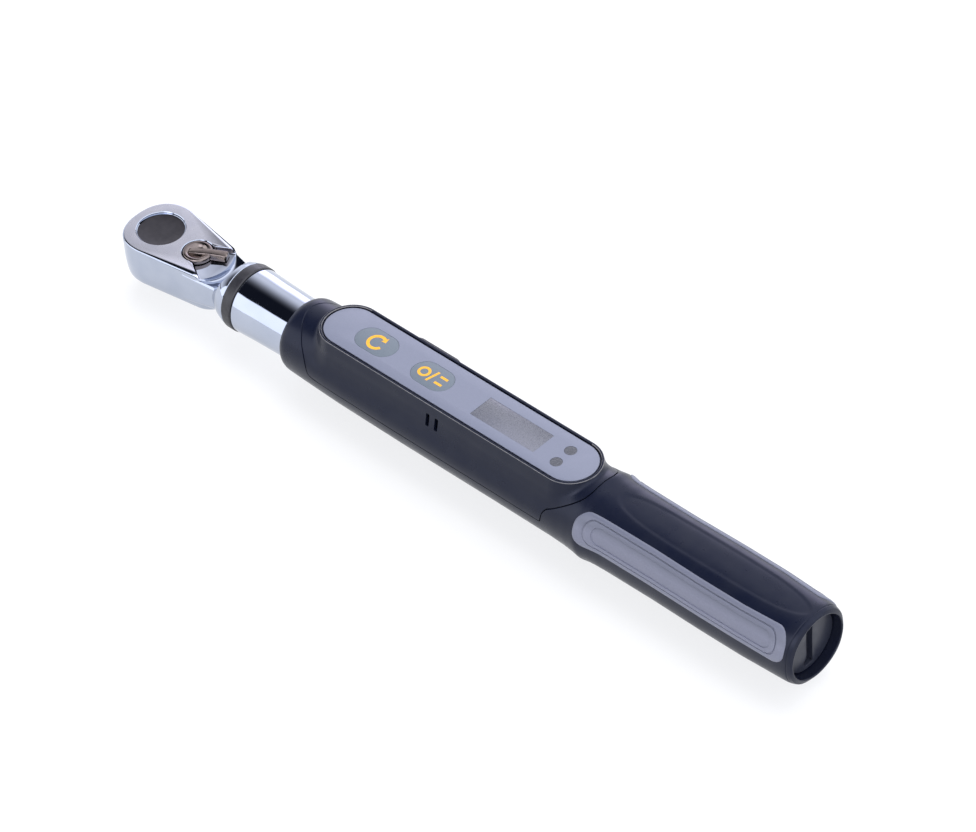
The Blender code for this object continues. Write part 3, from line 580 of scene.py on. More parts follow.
def resample(points, count):
    """count points evenly spaced along a polyline."""
    points = np.array(points, float)
    steps = np.linalg.norm(np.diff(points, axis=0), axis=1)
    length = np.concatenate([[0.0], np.cumsum(steps)])
    wanted = np.linspace(0.0, length[-1], count)
    return np.stack([np.interp(wanted, length, column) for column in points.T], axis=-1)


def smooth_curve(points, count):
    """A Catmull-Rom curve through points, evenly resampled."""
    given = np.array(points, float)
    padded = np.vstack([2 * given[0] - given[1], given, 2 * given[-1] - given[-2]])
    t = np.linspace(0.0, 1.0, 12, endpoint=False)[:, None]
    made = []
    for a, b, c, d in zip(padded, padded[1:], padded[2:], padded[3:]):
        bend = (2 * a - 5 * b + 4 * c - d) * t**2 + (3 * b - a - 3 * c + d) * t**3
        made.append(b + 0.5 * ((c - a) * t + bend))
    made.append(given[-1:])
    return resample(np.vstack(made), count)


def seam_path(corners, count):
    """Seam points (x, angle) on the far side, evenly spaced over the surface, to the top line."""
    curve = smooth_curve(corners, 160)
    x = curve[:, 0]
    angle = angle_at_height(x, curve[:, 1])
    x = np.append(x, x[-1] + 0.02 * np.sign(x[-1] - x[-2]))
    angle = np.append(angle, 0.5 * pi)
    even = resample(around_axis(x, body_radius(x, angle), angle), count)
    return even[:, 0], np.arctan2(even[:, 2], even[:, 1])


def cover_frame():
    """For each spoke on the far side: where it leaves the rim, and where it meets the seam."""
    turns, middle = 72, 90
    rear = RIM_END - SEAM_REAR_SETBACK
    front_x, front_angle = seam_path(((RIM_START, SEAM_LEVEL), *SEAM_FRONT), turns)
    rear_x, rear_angle = seam_path(((rear, SEAM_LEVEL), *SEAM_REAR), turns)
    side_x = np.linspace(RIM_START, rear, middle + 2)[1:-1]
    side_angle = angle_at_height(side_x, np.full(middle, SEAM_LEVEL))
    seam_x = np.concatenate([front_x[::-1], side_x, rear_x])
    seam_angle = np.concatenate([front_angle[::-1], side_angle, rear_angle])
    spread = (side_x - RIM_START) / (rear - RIM_START) * SEAM_REAR_SETBACK
    last = turns - 1
    rim = [(RIM_START, radians(90.0 + 90.0 * (last - i) / last)) for i in range(turns)]
    rim += [(x, 0.5 * pi) for x in side_x + spread]
    rim += [(RIM_END, radians(90.0 - 90.0 * i / last)) for i in range(turns)]
    return np.array(rim), seam_x, seam_angle


def rim_ring(rim, radius, level):
    """The slot outline of that radius at a height, one point for each spoke."""
    x = rim[:, 0] + radius * np.cos(rim[:, 1])
    y = radius * np.sin(rim[:, 1])
    return np.stack([x, y, np.full(len(rim), level)], axis=-1)


def full_ring(half):
    """Mirror a far-side row of points onto the near side to make a closed ring."""
    other = half[::-1][1:-1] * np.array([1.0, -1.0, 1.0])
    return np.vstack([half, other])


def panel_holes(levels, window, key_gap, lens_gap, key_points, lens_points):
    """Cutters for the two keys, the display window and the two lenses, between two levels."""
    reach = KEY_HALF - KEY_RADIUS
    holes = []
    for x in KEY_X.values():
        outline = stadium(x - reach, x + reach, KEY_RADIUS + key_gap, key_points)
        holes.append(prism("hole", outline, *levels))
    holes.append(prism("hole", box_outline(*window), *levels))
    for side in (-1.0, 1.0):
        profile = [(level, LENS_RADIUS + lens_gap) for level in levels]
        centre = (LENS_X, side * LENS_Y, 0.0)
        holes.append(turned("hole", profile, "Z", centre, lens_points))
    return holes


def make_top_cover(paint, edge_highlight_paint):
    rim, seam_x, seam_angle = cover_frame()
    wall_top = RIM_TOP - RIM_ROUND
    rim_radius = float(wall_radius(wall_top))
    start = rim_ring(rim, rim_radius, wall_top)
    start_angle = np.arctan2(start[:, 2], start[:, 1])
    steps = np.linspace(0.0, 1.0, 150)[:, None] ** 1.6
    x = start[:, 0] + (seam_x - start[:, 0]) * steps
    angle = start_angle + (seam_angle - start_angle) * steps
    dense = around_axis(x, cover_radius(x, angle), angle)
    spokes = np.stack([resample(dense[:, i], 44) for i in range(len(rim))], axis=1)
    inner_lip = ((0.0, RECESS_FLOOR), (0.0, RIM_TOP - 0.3), (0.05, RIM_TOP - 0.12), (0.17, RIM_TOP))
    rings = [rim_ring(rim, GAP_RADIUS + out, level) for out, level in inner_lip]
    for i in range(7):
        turn = radians(90.0 - 15.0 * i)
        out = rim_radius - RIM_ROUND * (1.0 - cos(turn))
        rings.append(rim_ring(rim, out, wall_top + RIM_ROUND * sin(turn)))
    rings.extend(spokes[1:])
    edge = spokes[-1]
    outward = edge * np.array([0.0, 1.0, 1.0])
    outward /= np.linalg.norm(outward, axis=1, keepdims=True)
    rings += [edge - outward * depth for depth in (0.12, 0.4, 1.9)]
    rings += [rim_ring(rim, radius, level) for radius, level in COVER_INSIDE]
    mesh = grid_mesh("top_cover_shell", [full_ring(ring) for ring in rings])
    window = ((WINDOW_X[0] + 1.0, WINDOW_X[1] - 1.0), (-4.0, 4.0))
    holes = panel_holes((12.0, 16.5), window, 0.3, 0.3, 24, 24)
    holes += [slot_cutter(x) for x in BUZZER_SLOTS]
    holes.append(prism("port_opening", box_outline(PORT_X, (8.0, 15.5)), *PORT_LEVELS))
    mesh = boolean(mesh, joined(holes))
    cover = finish_mesh("top_cover_shell", mesh, paint, "body", ("top_cover",))
    # The rim's rounded outer edge takes the lighter plastic: a painted highlight.
    cover.data.materials.append(edge_highlight_paint)
    low = (wall_top + 0.3 * RIM_ROUND + AXIS_Z) * MM
    high = (RIM_TOP - 0.1 * RIM_ROUND + AXIS_Z) * MM
    for polygon in cover.data.polygons:
        outside = abs(polygon.center.y) > 0.5 * (GAP_RADIUS + rim_radius) * MM
        outside = outside or not RIM_START < polygon.center.x / MM < RIM_END
        if low < polygon.center.z < high and outside and polygon.normal.z > 0.2:
            polygon.material_index = 1


def slot_cutter(x):
    """A tall slot with round ends through the near wall."""
    outline = rounded_rectangle((x - 0.72, x + 0.72), (7.45, 12.0), 0.35, 40)
    return prism("slot", outline, -14.5, -8.6, axis=1)


def seam_prism():
    """The space that the top cover fills, seen from the side, for cutting the housing."""
    front = smooth_curve(SEAM_FRONT, 60)
    rear = smooth_curve(SEAM_REAR, 60)
    above = 22.0
    first, last = (front[-1][0] - 0.05, above), (rear[-1][0] + 0.05, above)
    outline = np.vstack([first, front[::-1], rear, last])
    return prism("seam_prism", grow_outline(outline, SEAM_GAP), -20.0, 20.0, axis=1)


def handle_flat(x, angle):
    """How far the long oval on top of the handle is pressed in."""
    y = body_radius(x, angle) * np.cos(angle)
    top = np.sin(angle) > 0.0
    reach = ((x - 242.0) / 38.5) ** 4 + (y / 5.6) ** 2
    return np.where(top, 0.22 * (1.0 - ease(reach, 0.82, 1.05)), 0.0)


HOUSING_BORE = (
    # x, radius: round the end of the handle, forward through the bores, and round the collar
    (282.95, 11.95), (283.1, 11.6), (283.05, 11.35), (282.8, 11.2), (276.9, 11.1),
    (276.9, 8.8), (181.0, 8.8), (179.0, 12.0), (82.5, 12.0), (80.5, 10.95),
    (66.9, 10.95), (66.4, 11.2), (66.25, 11.55),
)
END_GROOVE = 281.25
SCREW_HOLE_RADIUS = 2.35


def make_housing(paint):
    count = 180
    angles = 2.0 * pi * (np.arange(count) + 0.5) / count
    stations = np.concatenate([
        np.linspace(HOUSING_FRONT, 70.0, 12, endpoint=False),
        np.linspace(70.0, 180.0, 70, endpoint=False),
        np.linspace(180.0, 280.6, 214, endpoint=False),
        np.linspace(280.6, HOUSING_END, 29),
    ])
    rings = []
    for x in stations:
        groove = 0.16 * exp(-(((x - END_GROOVE) / 0.16) ** 2))
        radius = body_radius(x, angles) - handle_flat(x, angles) - groove
        rings.append(around_axis(x, radius, angles))
    rings += [around_axis(x, radius, angles) for x, radius in HOUSING_BORE]
    mesh = boolean(grid_mesh("housing_shell", rings, close=True), seam_prism())
    holes = []
    for i in range(4):
        low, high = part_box("cover_screw_%d" % (i + 1))
        centre = ((low.x + high.x) / 2.0 / MM, (low.y + high.y) / 2.0 / MM, 0.0)
        profile = ((-16.0, SCREW_HOLE_RADIUS), (-9.0, SCREW_HOLE_RADIUS))
        holes.append(turned("hole", profile, "Z", centre, 32))
    mesh = boolean(mesh, joined(holes))
    finish_mesh("housing_shell", mesh, paint, "body", ("main_housing",), 28.0)


# ---- grips


def rounded_rectangle(x_range, z_range, radius, count=160):
    """The outline of a rectangle with round corners, as evenly spaced points."""
    corners = (
        (x_range[1] - radius, z_range[1] - radius, 0.0),
        (x_range[0] + radius, z_range[1] - radius, 90.0),
        (x_range[0] + radius, z_range[0] + radius, 180.0),
        (x_range[1] - radius, z_range[0] + radius, 270.0),
    )
    outline = []
    for u, v, first in corners:
        for i in range(13):
            angle = radians(first + 90.0 * i / 12)
            outline.append((u + radius * cos(angle), v + radius * sin(angle)))
    outline.append(outline[0])
    return resample(outline, count + 1)[:-1]


GRIP_RINGS = (
    # x range, z range, corner radius, height over the handle
    ((196.4, 280.3), (-0.3, 11.2), 4.6, -0.7),
    ((196.42, 280.28), (-0.28, 11.18), 4.6, -0.1),
    ((196.5, 280.2), (-0.2, 11.1), 4.55, 0.16),
    ((196.8, 279.9), (0.1, 10.8), 4.35, 0.38),
    ((197.6, 279.2), (0.75, 10.4), 4.2, 0.48),
    ((199.8, 277.3), (1.6, 10.1), 3.85, 0.48),
    ((200.0, 277.15), (1.7, 10.0), 3.8, 0.16),
    ((200.3, 276.9), (1.85, 9.85), 3.7, 0.16),
    ((200.45, 276.75), (1.93, 9.78), 3.63, 0.5),
    ((200.9, 276.4), (2.1, 9.62), 3.5, 0.58),
    ((201.4, 276.0), (2.35, 9.4), 3.35, 0.5),
    ((203.0, 274.9), (2.95, 8.85), 2.85, 0.36),
    ((203.15, 274.75), (3.05, 8.72), 2.75, 0.06),
    ((203.7, 274.3), (3.3, 8.4), 2.5, 0.06),
    ((205.4, 273.0), (4.2, 7.6), 1.65, 0.1),
    ((206.6, 272.0), (5.2, 6.6), 0.65, 0.1),
    ((207.3, 271.3), (5.9, 5.9), 0.0, 0.1),
)


def make_grips(paint):
    for name, side in (("grip_pad_near", -1.0), ("grip_pad_far", 1.0)):
        rings = []
        for x_range, z_range, corner, height in GRIP_RINGS:
            outline = rounded_rectangle(x_range, z_range, corner)
            x, z = outline.T
            angle = angle_at_height(x, z)
            radius = body_radius(x, angle) + height
            rings.append(around_axis(x, radius, angle) * (1.0, side, 1.0))
        mesh = grid_mesh(name, rings, cap_end=False)
        node = name.replace("pad", "inlay")
        finish_mesh(name, mesh, paint, "body", (node,), 50.0)


# ---- keypad


def film(name, steps):
    """A thin solid between (outline, drop below the panel's top) steps."""
    return grid_mesh(name, [raised(outline, PANEL_TOP - drop) for outline, drop in steps])


def make_panel(paint, display, lens):
    edge = stadium(RIM_START, RIM_END, PANEL_RADIUS, 48)
    steps = ((0.0, 0.5), (0.0, 0.06), (0.02, 0.02), (0.06, 0.0))
    mesh = film("panel_film", [(grow_outline(edge, -inset), drop) for inset, drop in steps])
    window = (WINDOW_X, (-WINDOW_HALF, WINDOW_HALF))
    mesh = boolean(mesh, joined(panel_holes((14.0, 16.0), window, 0.07, 0.05, 32, 48)))
    finish_mesh("panel_film", mesh, paint, "body", ("overlay_panel",))
    inner = 0.03
    half = WINDOW_HALF - inner
    outline = box_outline((WINDOW_X[0] + inner, WINDOW_X[1] - inner), (-half, half))
    pane = bevelled(prism("display_pane", outline, PANEL_TOP - 0.5, PANEL_TOP - 0.03), 0.05, 2)
    finish_mesh("display_pane", pane, display, "body", ("display_window",))
    profile = (
        (13.5, LENS_RADIUS), (PANEL_TOP - 0.08, LENS_RADIUS),
        (PANEL_TOP - 0.02, LENS_RADIUS - 0.08), (PANEL_TOP, 0.6),
    )
    for side, y in (("near", -LENS_Y), ("far", LENS_Y)):
        name = "lens_" + side
        mesh = turned(name, profile, "Z", (LENS_X, y, 0.0), 48)
        finish_mesh(name, mesh, lens, "body", ("indicator_" + name,))


def make_keys(paint, ink):
    reach = KEY_HALF - KEY_RADIUS
    steps = ((0.0, PANEL_TOP - KEY_BOTTOM), (0.0, 0.06), (-0.02, 0.02), (-0.08, 0.0))
    for node, x in KEY_X.items():
        ends = (x - reach, x + reach)
        shapes = [(stadium(*ends, KEY_RADIUS + grow, 32), drop) for grow, drop in steps]
        mesh = film(node + "_film", shapes)
        body = node.replace("button", "key")
        finish_mesh(node + "_film", mesh, paint, body, (node,))
    for name, icon in (("clear", clear_icon()), ("unit", unit_icon())):
        x = KEY_X[name + "_button"]
        parts = []
        for outline in icon:
            moved = [(x + ICON_SCALE * u, ICON_SCALE * v) for u, v in outline]
            parts.append(prism(name, moved, PANEL_TOP - 0.05, PANEL_TOP + 0.02))
        finish_mesh(name + "_icon", joined(parts), ink, name + "_key")


def arc_band(centre, radius, width, first, last, steps=28):
    """A bent bar: part of a ring between two angles in degrees."""
    angles = np.radians(np.linspace(first, last, steps))
    around = np.stack([np.cos(angles), np.sin(angles)], axis=-1)
    outer = np.array(centre) + (radius + width / 2.0) * around
    inner = np.array(centre) + (radius - width / 2.0) * around
    return np.vstack([outer, inner[::-1]])


def clear_icon():
    """A reset sign: an open circle that ends in an arrow head."""
    radius = 2.15
    ring = arc_band((0.0, 0.0), radius, 0.85, 62.0, 335.0)
    tip, base = radians(30.0), radians(61.0)
    head = [(radius * cos(tip), radius * sin(tip))]
    head += [(out * cos(base), out * sin(base)) for out in (3.2, 1.1)]
    return [ring, head]


def unit_icon():
    """A swap sign: a ring and two short bars with a slash between them."""
    ring = arc_band((-2.7, 0.0), 1.35, 0.7, 0.0, 359.0)
    slash = [(-0.75, -2.0), (-0.1, -2.0), (0.75, 2.0), (0.1, 2.0)]
    bars = [box_outline((1.6, 3.9), side) for side in ((-1.5, -0.8), (0.8, 1.5))]
    return [ring, slash, *bars]


# ---- head and tube

HEAD_TOP = 7.0
HEAD_FRONT = 11.6
HEAD_HALF = 12.85
HEAD_SQUARENESS = 2.25
HEAD_ROUND = 0.75
NECK_CENTRE = 22.5
NECK_RADIUS = 9.45
LEVER_X = 17.3
LEVER_ANGLE = 28.0
LEVER_SEAT = 5.32
ARM_SLOPE = 0.22
FAN_FLOOR = 5.1
FAN_REACH = 12.0
FAN_EDGE = (
    (18.2, 5.25), (20.2, 5.45), (21.3, 6.1), (23.2, 7.25), (25.0, 8.2), (26.6, 9.0), (31.0, 11.0),
)
HEAD_LOWER = (
    # height, inset from the plan outline
    (1.0, 0.0), (-1.0, 0.04), (-2.5, 0.1), (-4.0, 0.22), (-5.3, 0.34), (-6.4, 0.5),
    (-7.3, 0.7), (-8.0, 0.95), (-8.6, 1.35), (-9.0, 1.85), (-9.3, 2.8),
)
VALLEY_FLOOR = ((31.9, 3.05), (33.2, 3.9), (34.6, 5.7), (35.7, 7.9), (36.7, 10.4))
NECK = (
    # x, radius
    (20.0, 5.4), (29.0, 7.6), (31.6, 8.3), (33.3, 9.3), (35.2, 10.4), (37.5, 11.2), (38.75, 11.45),
)
NECK_CORE = ((38.9, 11.3), (38.9, 7.5), (60.0, 7.5))
DISC_BORE = (
    # height, radius: the gear's bore, the step of the disc, the ring's groove, the top edge
    (-7.6, 8.3), (5.85, 8.3), (5.85, 8.65), (6.55, 8.65), (6.55, 8.2), (6.8, 8.2),
    (HEAD_TOP, 8.4), (9.0, 8.45),
)
LOWER_BORE = ((-10.0, 6.8), (-7.0, 6.8))
LEVER_BORE = (
    (-4.6, 2.9), (FAN_FLOOR, 2.9), (FAN_FLOOR, LEVER_SEAT - 0.2), (FAN_FLOOR + 0.2, LEVER_SEAT),
    (HEAD_TOP - 0.2, LEVER_SEAT), (HEAD_TOP, LEVER_SEAT + 0.22), (9.0, LEVER_SEAT + 0.25),
)


def head_outline(inset, front_points=97, rear_points=49):
    """Plan outline of the head: a blunt front, flanks that taper, and a round neck end."""
    angles = np.radians(np.linspace(81.8, 278.2, front_points))
    c, s = np.cos(angles), np.sin(angles)
    x = (HEAD_FRONT - inset) * np.sign(c) * np.abs(c) ** (2.0 / HEAD_SQUARENESS)
    y = (HEAD_HALF - inset) * np.sign(s) * np.abs(s) ** (2.0 / HEAD_SQUARENESS)
    rear = np.radians(np.linspace(-81.2, 81.2, rear_points))
    x = np.append(x, NECK_CENTRE + (NECK_RADIUS - inset) * np.cos(rear))
    y = np.append(y, (NECK_RADIUS - inset) * np.sin(rear))
    return np.stack([x, y], axis=-1)


def head_ring(height, inset):
    """One ring of the head; the top edge grows rounder where the flanks run into the neck."""
    outline = head_outline(0.0)
    rounder = 1.0
    if height > HEAD_TOP - HEAD_ROUND:
        rounder = 1.0 + 2.8 * ease(outline[:, 0], 19.0, 29.0)
    else:
        height = np.full(len(outline), height)
    shares = rounder * np.full(len(outline), inset)
    points = outline + (head_outline(1.0) - outline) * shares[:, None]
    return np.column_stack([points, HEAD_TOP - (HEAD_TOP - height) * rounder])


def head_levels():
    """Heights and insets of the head: a rounded top edge, an upright wall and a round bottom."""
    levels = []
    for i in range(9):
        turn = radians(11.25 * i)
        drop = HEAD_ROUND * (1.0 - cos(turn))
        levels.append((HEAD_TOP - drop, HEAD_ROUND * (1.0 - sin(turn))))
    return levels + list(HEAD_LOWER)


def neck_cheeks():
    """The flanks carried on from the head into the collar, with their top edges rolled over."""
    rings = []
    for x, half, low, high, corner in (
        (20.0, 10.18, -6.4, 5.6, 1.4), (24.0, 9.56, -6.2, 5.5, 1.6),
        (28.0, 8.94, -5.9, 5.3, 1.9), (31.0, 8.47, -5.6, 5.1, 2.1),
        (34.0, 8.0, -5.2, 4.9, 2.2),
    ):
        outline = rounded_rectangle((-half, half), (low, high), corner)
        rings.append(raised(outline, x, 0))
    return grid_mesh("cheeks", rings)


def neck_valley():
    """The hollow between the fan and the collar, deepest in the middle."""
    rings = []
    for y in np.linspace(-11.7, 11.7, 53):
        start = LEVER_X + sqrt(max(FAN_REACH**2 - y * y, 1.0))
        lift = 0.0035 * abs(y) ** 3
        wall = ((start, 4.1), (start + 0.15, 3.5), (start + 0.5, 3.12), (start + 1.1, 2.95))
        ring = [(start, y, 22.0), (start, y, 5.4 + lift)]
        ring += [(x, y, z + lift) for x, z in smooth_curve(wall + VALLEY_FLOOR, 28)]
        ring.append((37.2, y, 22.0))
        rings.append(ring)
    return grid_mesh("valley", rings)


def fan_cutter():
    """The recess that the lever sweeps over, with sides that curve up from its floor."""
    edge = smooth_curve(FAN_EDGE, 40)
    rings = []
    for level, inset in (
        (FAN_FLOOR, 1.1), (FAN_FLOOR + 0.05, 0.9), (FAN_FLOOR + 0.25, 0.66),
        (FAN_FLOOR + 0.7, 0.44), (FAN_FLOOR + 1.3, 0.26), (HEAD_TOP - 0.22, 0.14),
        (HEAD_TOP - 0.1, 0.04), (HEAD_TOP, -0.16), (HEAD_TOP + 2.0, -0.2),
    ):
        side = [(x, y - inset, level) for x, y in edge]
        rings.append(side + [(x, -y, z) for x, y, z in reversed(side)])
    return grid_mesh("fan", rings)


def make_head(chrome, satin):
    mesh = grid_mesh("head_form", [head_ring(*level) for level in head_levels()])
    neck = np.vstack([smooth_curve(NECK, 30), NECK_CORE])
    for part in (turned("neck", neck, segments=160), neck_cheeks()):
        mesh = boolean(mesh, part, "UNION")
    for cutter in (
        neck_valley(),
        turned("disc_bore", DISC_BORE, "Z", segments=144),
        turned("lower_bore", LOWER_BORE, "Z", segments=96),
        fan_cutter(),
        turned("lever_bore", LEVER_BORE, "Z", (LEVER_X, 0.0, 0.0), 96),
    ):
        mesh = boolean(mesh, cutter)
    head = finish_mesh("head_casting", mesh, chrome, "body", ("ratchet_head",), 30.0)
    head.data.materials.append(satin)
    for polygon in head.data.polygons:
        flat_top = polygon.normal.z > 0.995 and polygon.center.z > (AXIS_Z + HEAD_TOP - 0.1) * MM
        polygon.material_index = 1 if flat_top else 0


def make_tube(chrome, rubber):
    outer = ((47.0, 11.25), (51.4, 11.05), (57.0, 10.9), (65.0, 10.72), (80.0, 10.7))
    front = rounded(((43.25, 8.2), (43.25, 11.15), (43.5, 11.4), outer[0]), 0.2)
    profile = np.vstack([front[:-1], smooth_curve(outer, 40), (81.5, 10.7), (81.5, 7.9)])
    sleeve = turned("sleeve", profile, segments=192)
    finish_mesh("sleeve", sleeve, chrome, "body", ("outer_tube",))
    seal = (
        (39.1, 8.0), (39.1, 11.45), (39.5, 11.72), (42.6, 11.72), (43.05, 11.4), (43.05, 8.0),
    )
    ring = turned("sleeve_seal", rounded(seal, 0.35), segments=144)
    finish_mesh("sleeve_seal", ring, rubber, "body", ("seal_ring",))


def make_disc(oxide, chrome):
    profile = (
        (4.75, 7.7), (4.9, 8.0), (5.9, 8.0), (6.02, 7.9), (6.05, 7.75), (6.0, 7.6), (5.95, 3.0),
    )
    disc = turned("head_disc", profile, "Z", segments=128)
    finish_mesh("head_disc", disc, oxide, "body", ("cover_disc",))
    section = ((7.85, 6.08), (7.85, 6.42), (7.95, 6.52), (8.4, 6.52), (8.5, 6.45), (8.5, 6.08))
    arc = []
    for i in range(97):
        turn = radians(199.0 + 283.0 * i / 96)
        arc.append([(out * cos(turn), out * sin(turn), level) for out, level in section])
    mesh = grid_mesh("retaining_ring", arc)
    finish_mesh("retaining_ring", mesh, chrome, "body", ("snap_ring",))


LEVER_LOW = FAN_FLOOR + 0.3
LEVER_HUB = (
    # height, radius: up the outside, over the rolled rim and down into the dish
    (-4.2, 2.6), (LEVER_LOW, 2.6), (LEVER_LOW, 4.9), (LEVER_LOW + 0.12, 5.08), (6.1, 5.15),
    (6.55, 5.1), (6.95, 4.92), (7.2, 4.6), (7.28, 4.25), (7.2, 3.85), (6.95, 3.45), (6.55, 3.1),
    (6.15, 2.75), (5.85, 2.3), (5.68, 1.7), (5.62, 0.4),
)
LEVER_ARM = (
    # distance from the hub's axis, half width of the top, height of the top
    (-3.5, 0.7, 6.55), (-3.0, 1.0, 6.75), (-2.0, 1.15, 6.95), (-0.5, 1.2, 7.15),
    (1.2, 1.22, 7.32), (3.0, 1.25, 7.46), (5.0, 1.25, 7.56), (7.0, 1.28, 7.6),
    (9.3, 1.35, 7.58), (10.0, 1.3, 7.48), (10.3, 1.15, 7.1),
)


def make_lever(nickel):
    """A dished hub with a thick rolled rim, and an arm that rises out of the dish."""
    mesh = turned("lever_hub", LEVER_HUB, "Z", segments=96)
    rings = []
    for along, half, top in LEVER_ARM:
        low_half = half + ARM_SLOPE * (top - LEVER_LOW)
        side = [(low_half, LEVER_LOW), (half + 0.06, top - 0.2)]
        side += [(half - 0.06, top - 0.06), (half - 0.25, top)]
        section = side + [(-across, up) for across, up in reversed(side)]
        rings.append(raised(section, along, 0))
    mesh = boolean(mesh, grid_mesh("lever_arm", rings), "UNION")
    turn = Matrix.Rotation(radians(LEVER_ANGLE), 4, "Z")
    mesh.transform(Matrix.Translation((LEVER_X * MM, 0.0, 0.0)) @ turn)
    finish_mesh("lever_body", mesh, nickel, "lever", ("reverse_lever",), 34.0)


# ---- port cover


def make_port_cover(rubber):
    """A soft pillow over the socket, whose two ends sink into the wall."""
    low, high = span("port_cover", 0)
    rings = []
    for x in np.concatenate([np.linspace(low, low + 5.0, 12), np.linspace(high - 4.0, high, 12)]):
        rise = ease(x, low - 0.4, low + 4.6) * (1.0 - ease(x, high - 3.2, high + 0.6))
        swell = 0.12 + 0.88 * float(rise)
        top = 13.0 + 0.9 * swell
        skin = ((10.9, top), (11.2 + swell, top), (11.75 + 0.75 * swell, 10.0))
        skin += ((12.6 + 0.6 * swell, 6.6), (12.2, 6.6))
        section = rounded(skin, 0.55, 4) + [(11.9, 7.6), (11.3, 10.5)]
        rings.append(raised(section, x, 0))
    plug = prism("plug", box_outline(PLUG_X, (10.35, 12.0)), *PLUG_LEVELS)
    mesh = boolean(grid_mesh("port_cover_skin", rings), plug, "UNION")
    names = ("port_cover",)
    finish_mesh("port_cover_skin", mesh, rubber, "port_flap", names, 40.0)


# ---- handle end


CAP_BODY = (
    # x, radius: the spring's seat, the seal's groove and the step to the face
    (267.0, 5.7), (267.0, 8.1), (270.0, 8.1), (270.0, 7.1), (272.6, 7.1), (272.6, 8.4),
    (277.2, 8.4),
)
COIN_SLOT = ((-1.4, 8.9), (-1.4, -6.1), (-2.6, -7.1), (-2.3, -8.9), (1.4, -8.9), (1.4, 8.9))


def make_cap(plastic):
    face = span("battery_cap", 0)[1]
    edge = rounded(((277.2, 10.8), (face, 10.8), (face, 4.0)), 0.3)
    mesh = turned("cap_face", (*CAP_BODY, *edge, (face - 0.05, 1.0)), segments=144)
    mesh = boolean(mesh, turned("hollow", ((260.0, 5.6), (276.2, 5.6)), segments=64))
    mesh = boolean(mesh, prism("coin_slot", COIN_SLOT, face - 2.1, face + 5.0, axis=0))
    mesh = bevelled(mesh, 0.12, 2, 55.0)
    finish_mesh("cap_face", mesh, plastic, "cap", ("battery_cap",))


# ---- frame nodes that stay


def paint_nodes(paints):
    """Give every frame node that stays in view its finished material."""
    slots = {part["node"]: part["material_slot"] for part in frame["record"]["subparts"]}
    for name, node in frame["nodes"].items():
        node.data.materials.clear()
        node.data.materials.append(paints[slots[name]])


# ---- studio

SKY_BASE = (1.58, 1.62, 1.75)
SKY = (
    # direction, full inside these degrees, gone outside these, colour; each lies over the last
    ((0.0, 0.0, 1.0), 88.0, 89.2, (0.12, 0.13, 0.155)),  # dark line just over the horizon
    ((0.0, 0.0, 1.0), 84.6, 86.0, (1.64, 1.68, 1.80)),  # walls and ceiling above it
    ((-0.52, 0.50, 0.69), 16.0, 52.0, (1.20, 1.20, 1.28)),  # dimmer ceiling
    ((-0.52, 0.83, 0.20), 6.0, 20.0, (2.6, 2.5, 3.2)),  # bright patch on the far wall
    ((-0.524, -0.36, 0.77), 16.0, 58.0, (0.012, 0.014, 0.022)),  # dark opening
    ((0.12, -0.72, 0.50), 6.0, 24.0, (3.2, 3.2, 3.5)),  # bright patch on the near side
    ((-0.524, -0.85, 0.05), 35.6, 38.6, (1.88, 1.92, 2.06)),  # light wall by the head
)
FLOOR_HALF = 4.0
FLOOR_HEIGHT = -0.0006
FLOOR_GLOW = {"Emission Color": (0.985, 0.99, 1.0, 1.0), "Emission Strength": 0.765}
LIGHT_PLACE = (-0.1, 0.5, 1.6)
LIGHT_TARGET = (0.12, 0.0, 0.0)
LIGHT_SIZE = 1.2
LIGHT_POWER = 30.0
CAMERA_AZIMUTH, CAMERA_ELEVATION, CAMERA_ROLL = 46.044, 43.301, -3.989
CAMERA_PLACE = (0.95339, -0.77643, 1.06687 + AXIS_Z * MM)
CAMERA_LENS = 181.82
CAMERA_SENSOR = 36.0


def studio_sky():
    """A light room with a dark horizon line, a dim ceiling, one dark opening and bright patches."""
    world = bpy.data.worlds.new("studio_sky")
    bpy.context.scene.world = world
    world.use_nodes = True
    tree = world.node_tree
    direction = tree.nodes.new("ShaderNodeTexCoord").outputs["Generated"]
    colour = SKY_BASE
    for towards, inner, outer, shade in SKY:
        dot = tree.nodes.new("ShaderNodeVectorMath")
        dot.operation = "DOT_PRODUCT"
        dot.inputs[1].default_value = Vector(towards).normalized()
        tree.links.new(direction, dot.inputs[0])
        fade = tree.nodes.new("ShaderNodeMapRange")
        fade.interpolation_type = "SMOOTHSTEP"
        fade.inputs["From Min"].default_value = cos(radians(outer))
        fade.inputs["From Max"].default_value = cos(radians(inner))
        tree.links.new(dot.outputs["Value"], fade.inputs["Value"])
        colour = mix_colours(tree, fade.outputs["Result"], colour, shade)
    tree.links.new(colour, tree.nodes["Background"].inputs["Color"])


def make_floor():
    mesh = bpy.data.meshes.new("studio_floor")
    square = box_outline((-FLOOR_HALF, FLOOR_HALF), (-FLOOR_HALF, FLOOR_HALF))
    mesh.from_pydata(raised(square, FLOOR_HEIGHT).tolist(), [], [(0, 1, 2, 3)])
    floor = add_object("studio_floor", mesh)
    paint = Paint("studio_floor", (0.17, 0.172, 0.175), 0.8, FLOOR_GLOW)
    paint.mottle(400.0, (0.175, 0.177, 0.18))
    mesh.materials.append(paint.material)


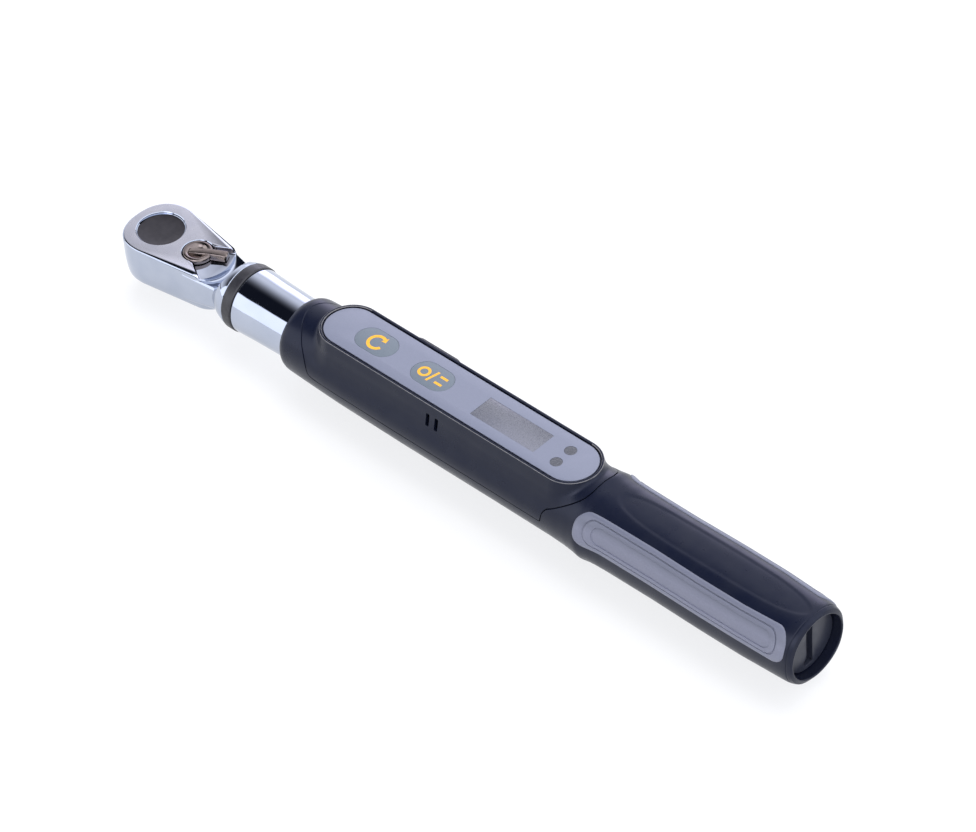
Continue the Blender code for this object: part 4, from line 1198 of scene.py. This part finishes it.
def make_light():
    """A soft box over the wrench that shows in none of its reflections."""
    data = bpy.data.lights.new("top_box", "AREA")
    data.shape = "SQUARE"
    data.size = LIGHT_SIZE
    data.energy = LIGHT_POWER
    data.color = (1.0, 0.99, 0.98)
    light = add_object("top_box", data)
    light.location = LIGHT_PLACE
    aim = Vector(LIGHT_TARGET) - Vector(LIGHT_PLACE)
    light.rotation_euler = aim.to_track_quat("-Z", "Y").to_euler()
    light.visible_glossy = False


def make_camera():
    azimuth, elevation = radians(CAMERA_AZIMUTH), radians(CAMERA_ELEVATION)
    roll = radians(CAMERA_ROLL)
    level = cos(elevation)
    back = Vector((sin(azimuth) * level, -cos(azimuth) * level, sin(elevation)))
    right = Vector((cos(azimuth), sin(azimuth), 0.0))
    up = back.cross(right)
    across = right * cos(roll) + up * sin(roll)
    upward = up * cos(roll) - right * sin(roll)
    data = bpy.data.cameras.new("studio_camera")
    data.lens = CAMERA_LENS
    data.sensor_width = CAMERA_SENSOR
    camera = add_object("studio_camera", data)
    turn = Matrix((across, upward, back)).transposed().to_4x4()
    camera.matrix_world = Matrix.Translation(CAMERA_PLACE) @ turn
    bpy.context.scene.camera = camera


def main():
    paints = {name: table_paint(name) for name in PAINTS}
    chrome = paints["polished_chrome"]
    plastic = paints["moulded_plastic"]
    rubber = paints["black_rubber"]
    grip = grip_rubber()
    display = display_film()
    paint_nodes({
        "chrome": chrome,
        "steel": machined_steel("machined_steel", (0.50, 0.50, 0.52), 0.32),
        "dark_steel": machined_steel("blackened_steel", (0.16, 0.16, 0.18), 0.38),
        "black_nickel": paints["black_nickel"],
        "black_oxide": paints["black_oxide"],
        "body_plastic": plastic,
        "black_rubber": rubber,
        "grip_rubber": grip,
        "panel_grey": paints["panel_film"],
        "key_grey": paints["key_film"],
        "display_clear": display,
        "indicator_lens": paints["smoked_lens"],
        "board_green": circuit_board_paint(),
        "component_black": moulded_part("component_black", (0.015, 0.015, 0.016)),
        "led_clear": moulded_part("led_resin", (0.62, 0.62, 0.58), 0.2),
        "display_grey": moulded_part("display_module", (0.20, 0.21, 0.21), 0.35),
        "liner_white": moulded_part("battery_liner", (0.50, 0.50, 0.47)),
        "cell_sleeve": moulded_part("cell_sleeve", (0.05, 0.14, 0.32), 0.3),
        "gauge_film": moulded_part("gauge_film", (0.45, 0.22, 0.04), 0.35),
    })
    make_head(chrome, paints["satin_chrome"])
    make_disc(paints["black_oxide"], chrome)
    make_lever(paints["black_nickel"])
    make_tube(chrome, rubber)
    make_housing(plastic)
    make_top_cover(plastic, paints["rim_edge_highlight"])
    make_panel(paints["panel_film"], display, paints["smoked_lens"])
    make_keys(paints["key_film"], amber_print())
    make_grips(grip)
    make_port_cover(rubber)
    make_cap(paints["smooth_plastic"])
    make_floor()
    studio_sky()
    make_light()
    make_camera()
    bpy.context.scene.view_settings.view_transform = "Standard"


main()
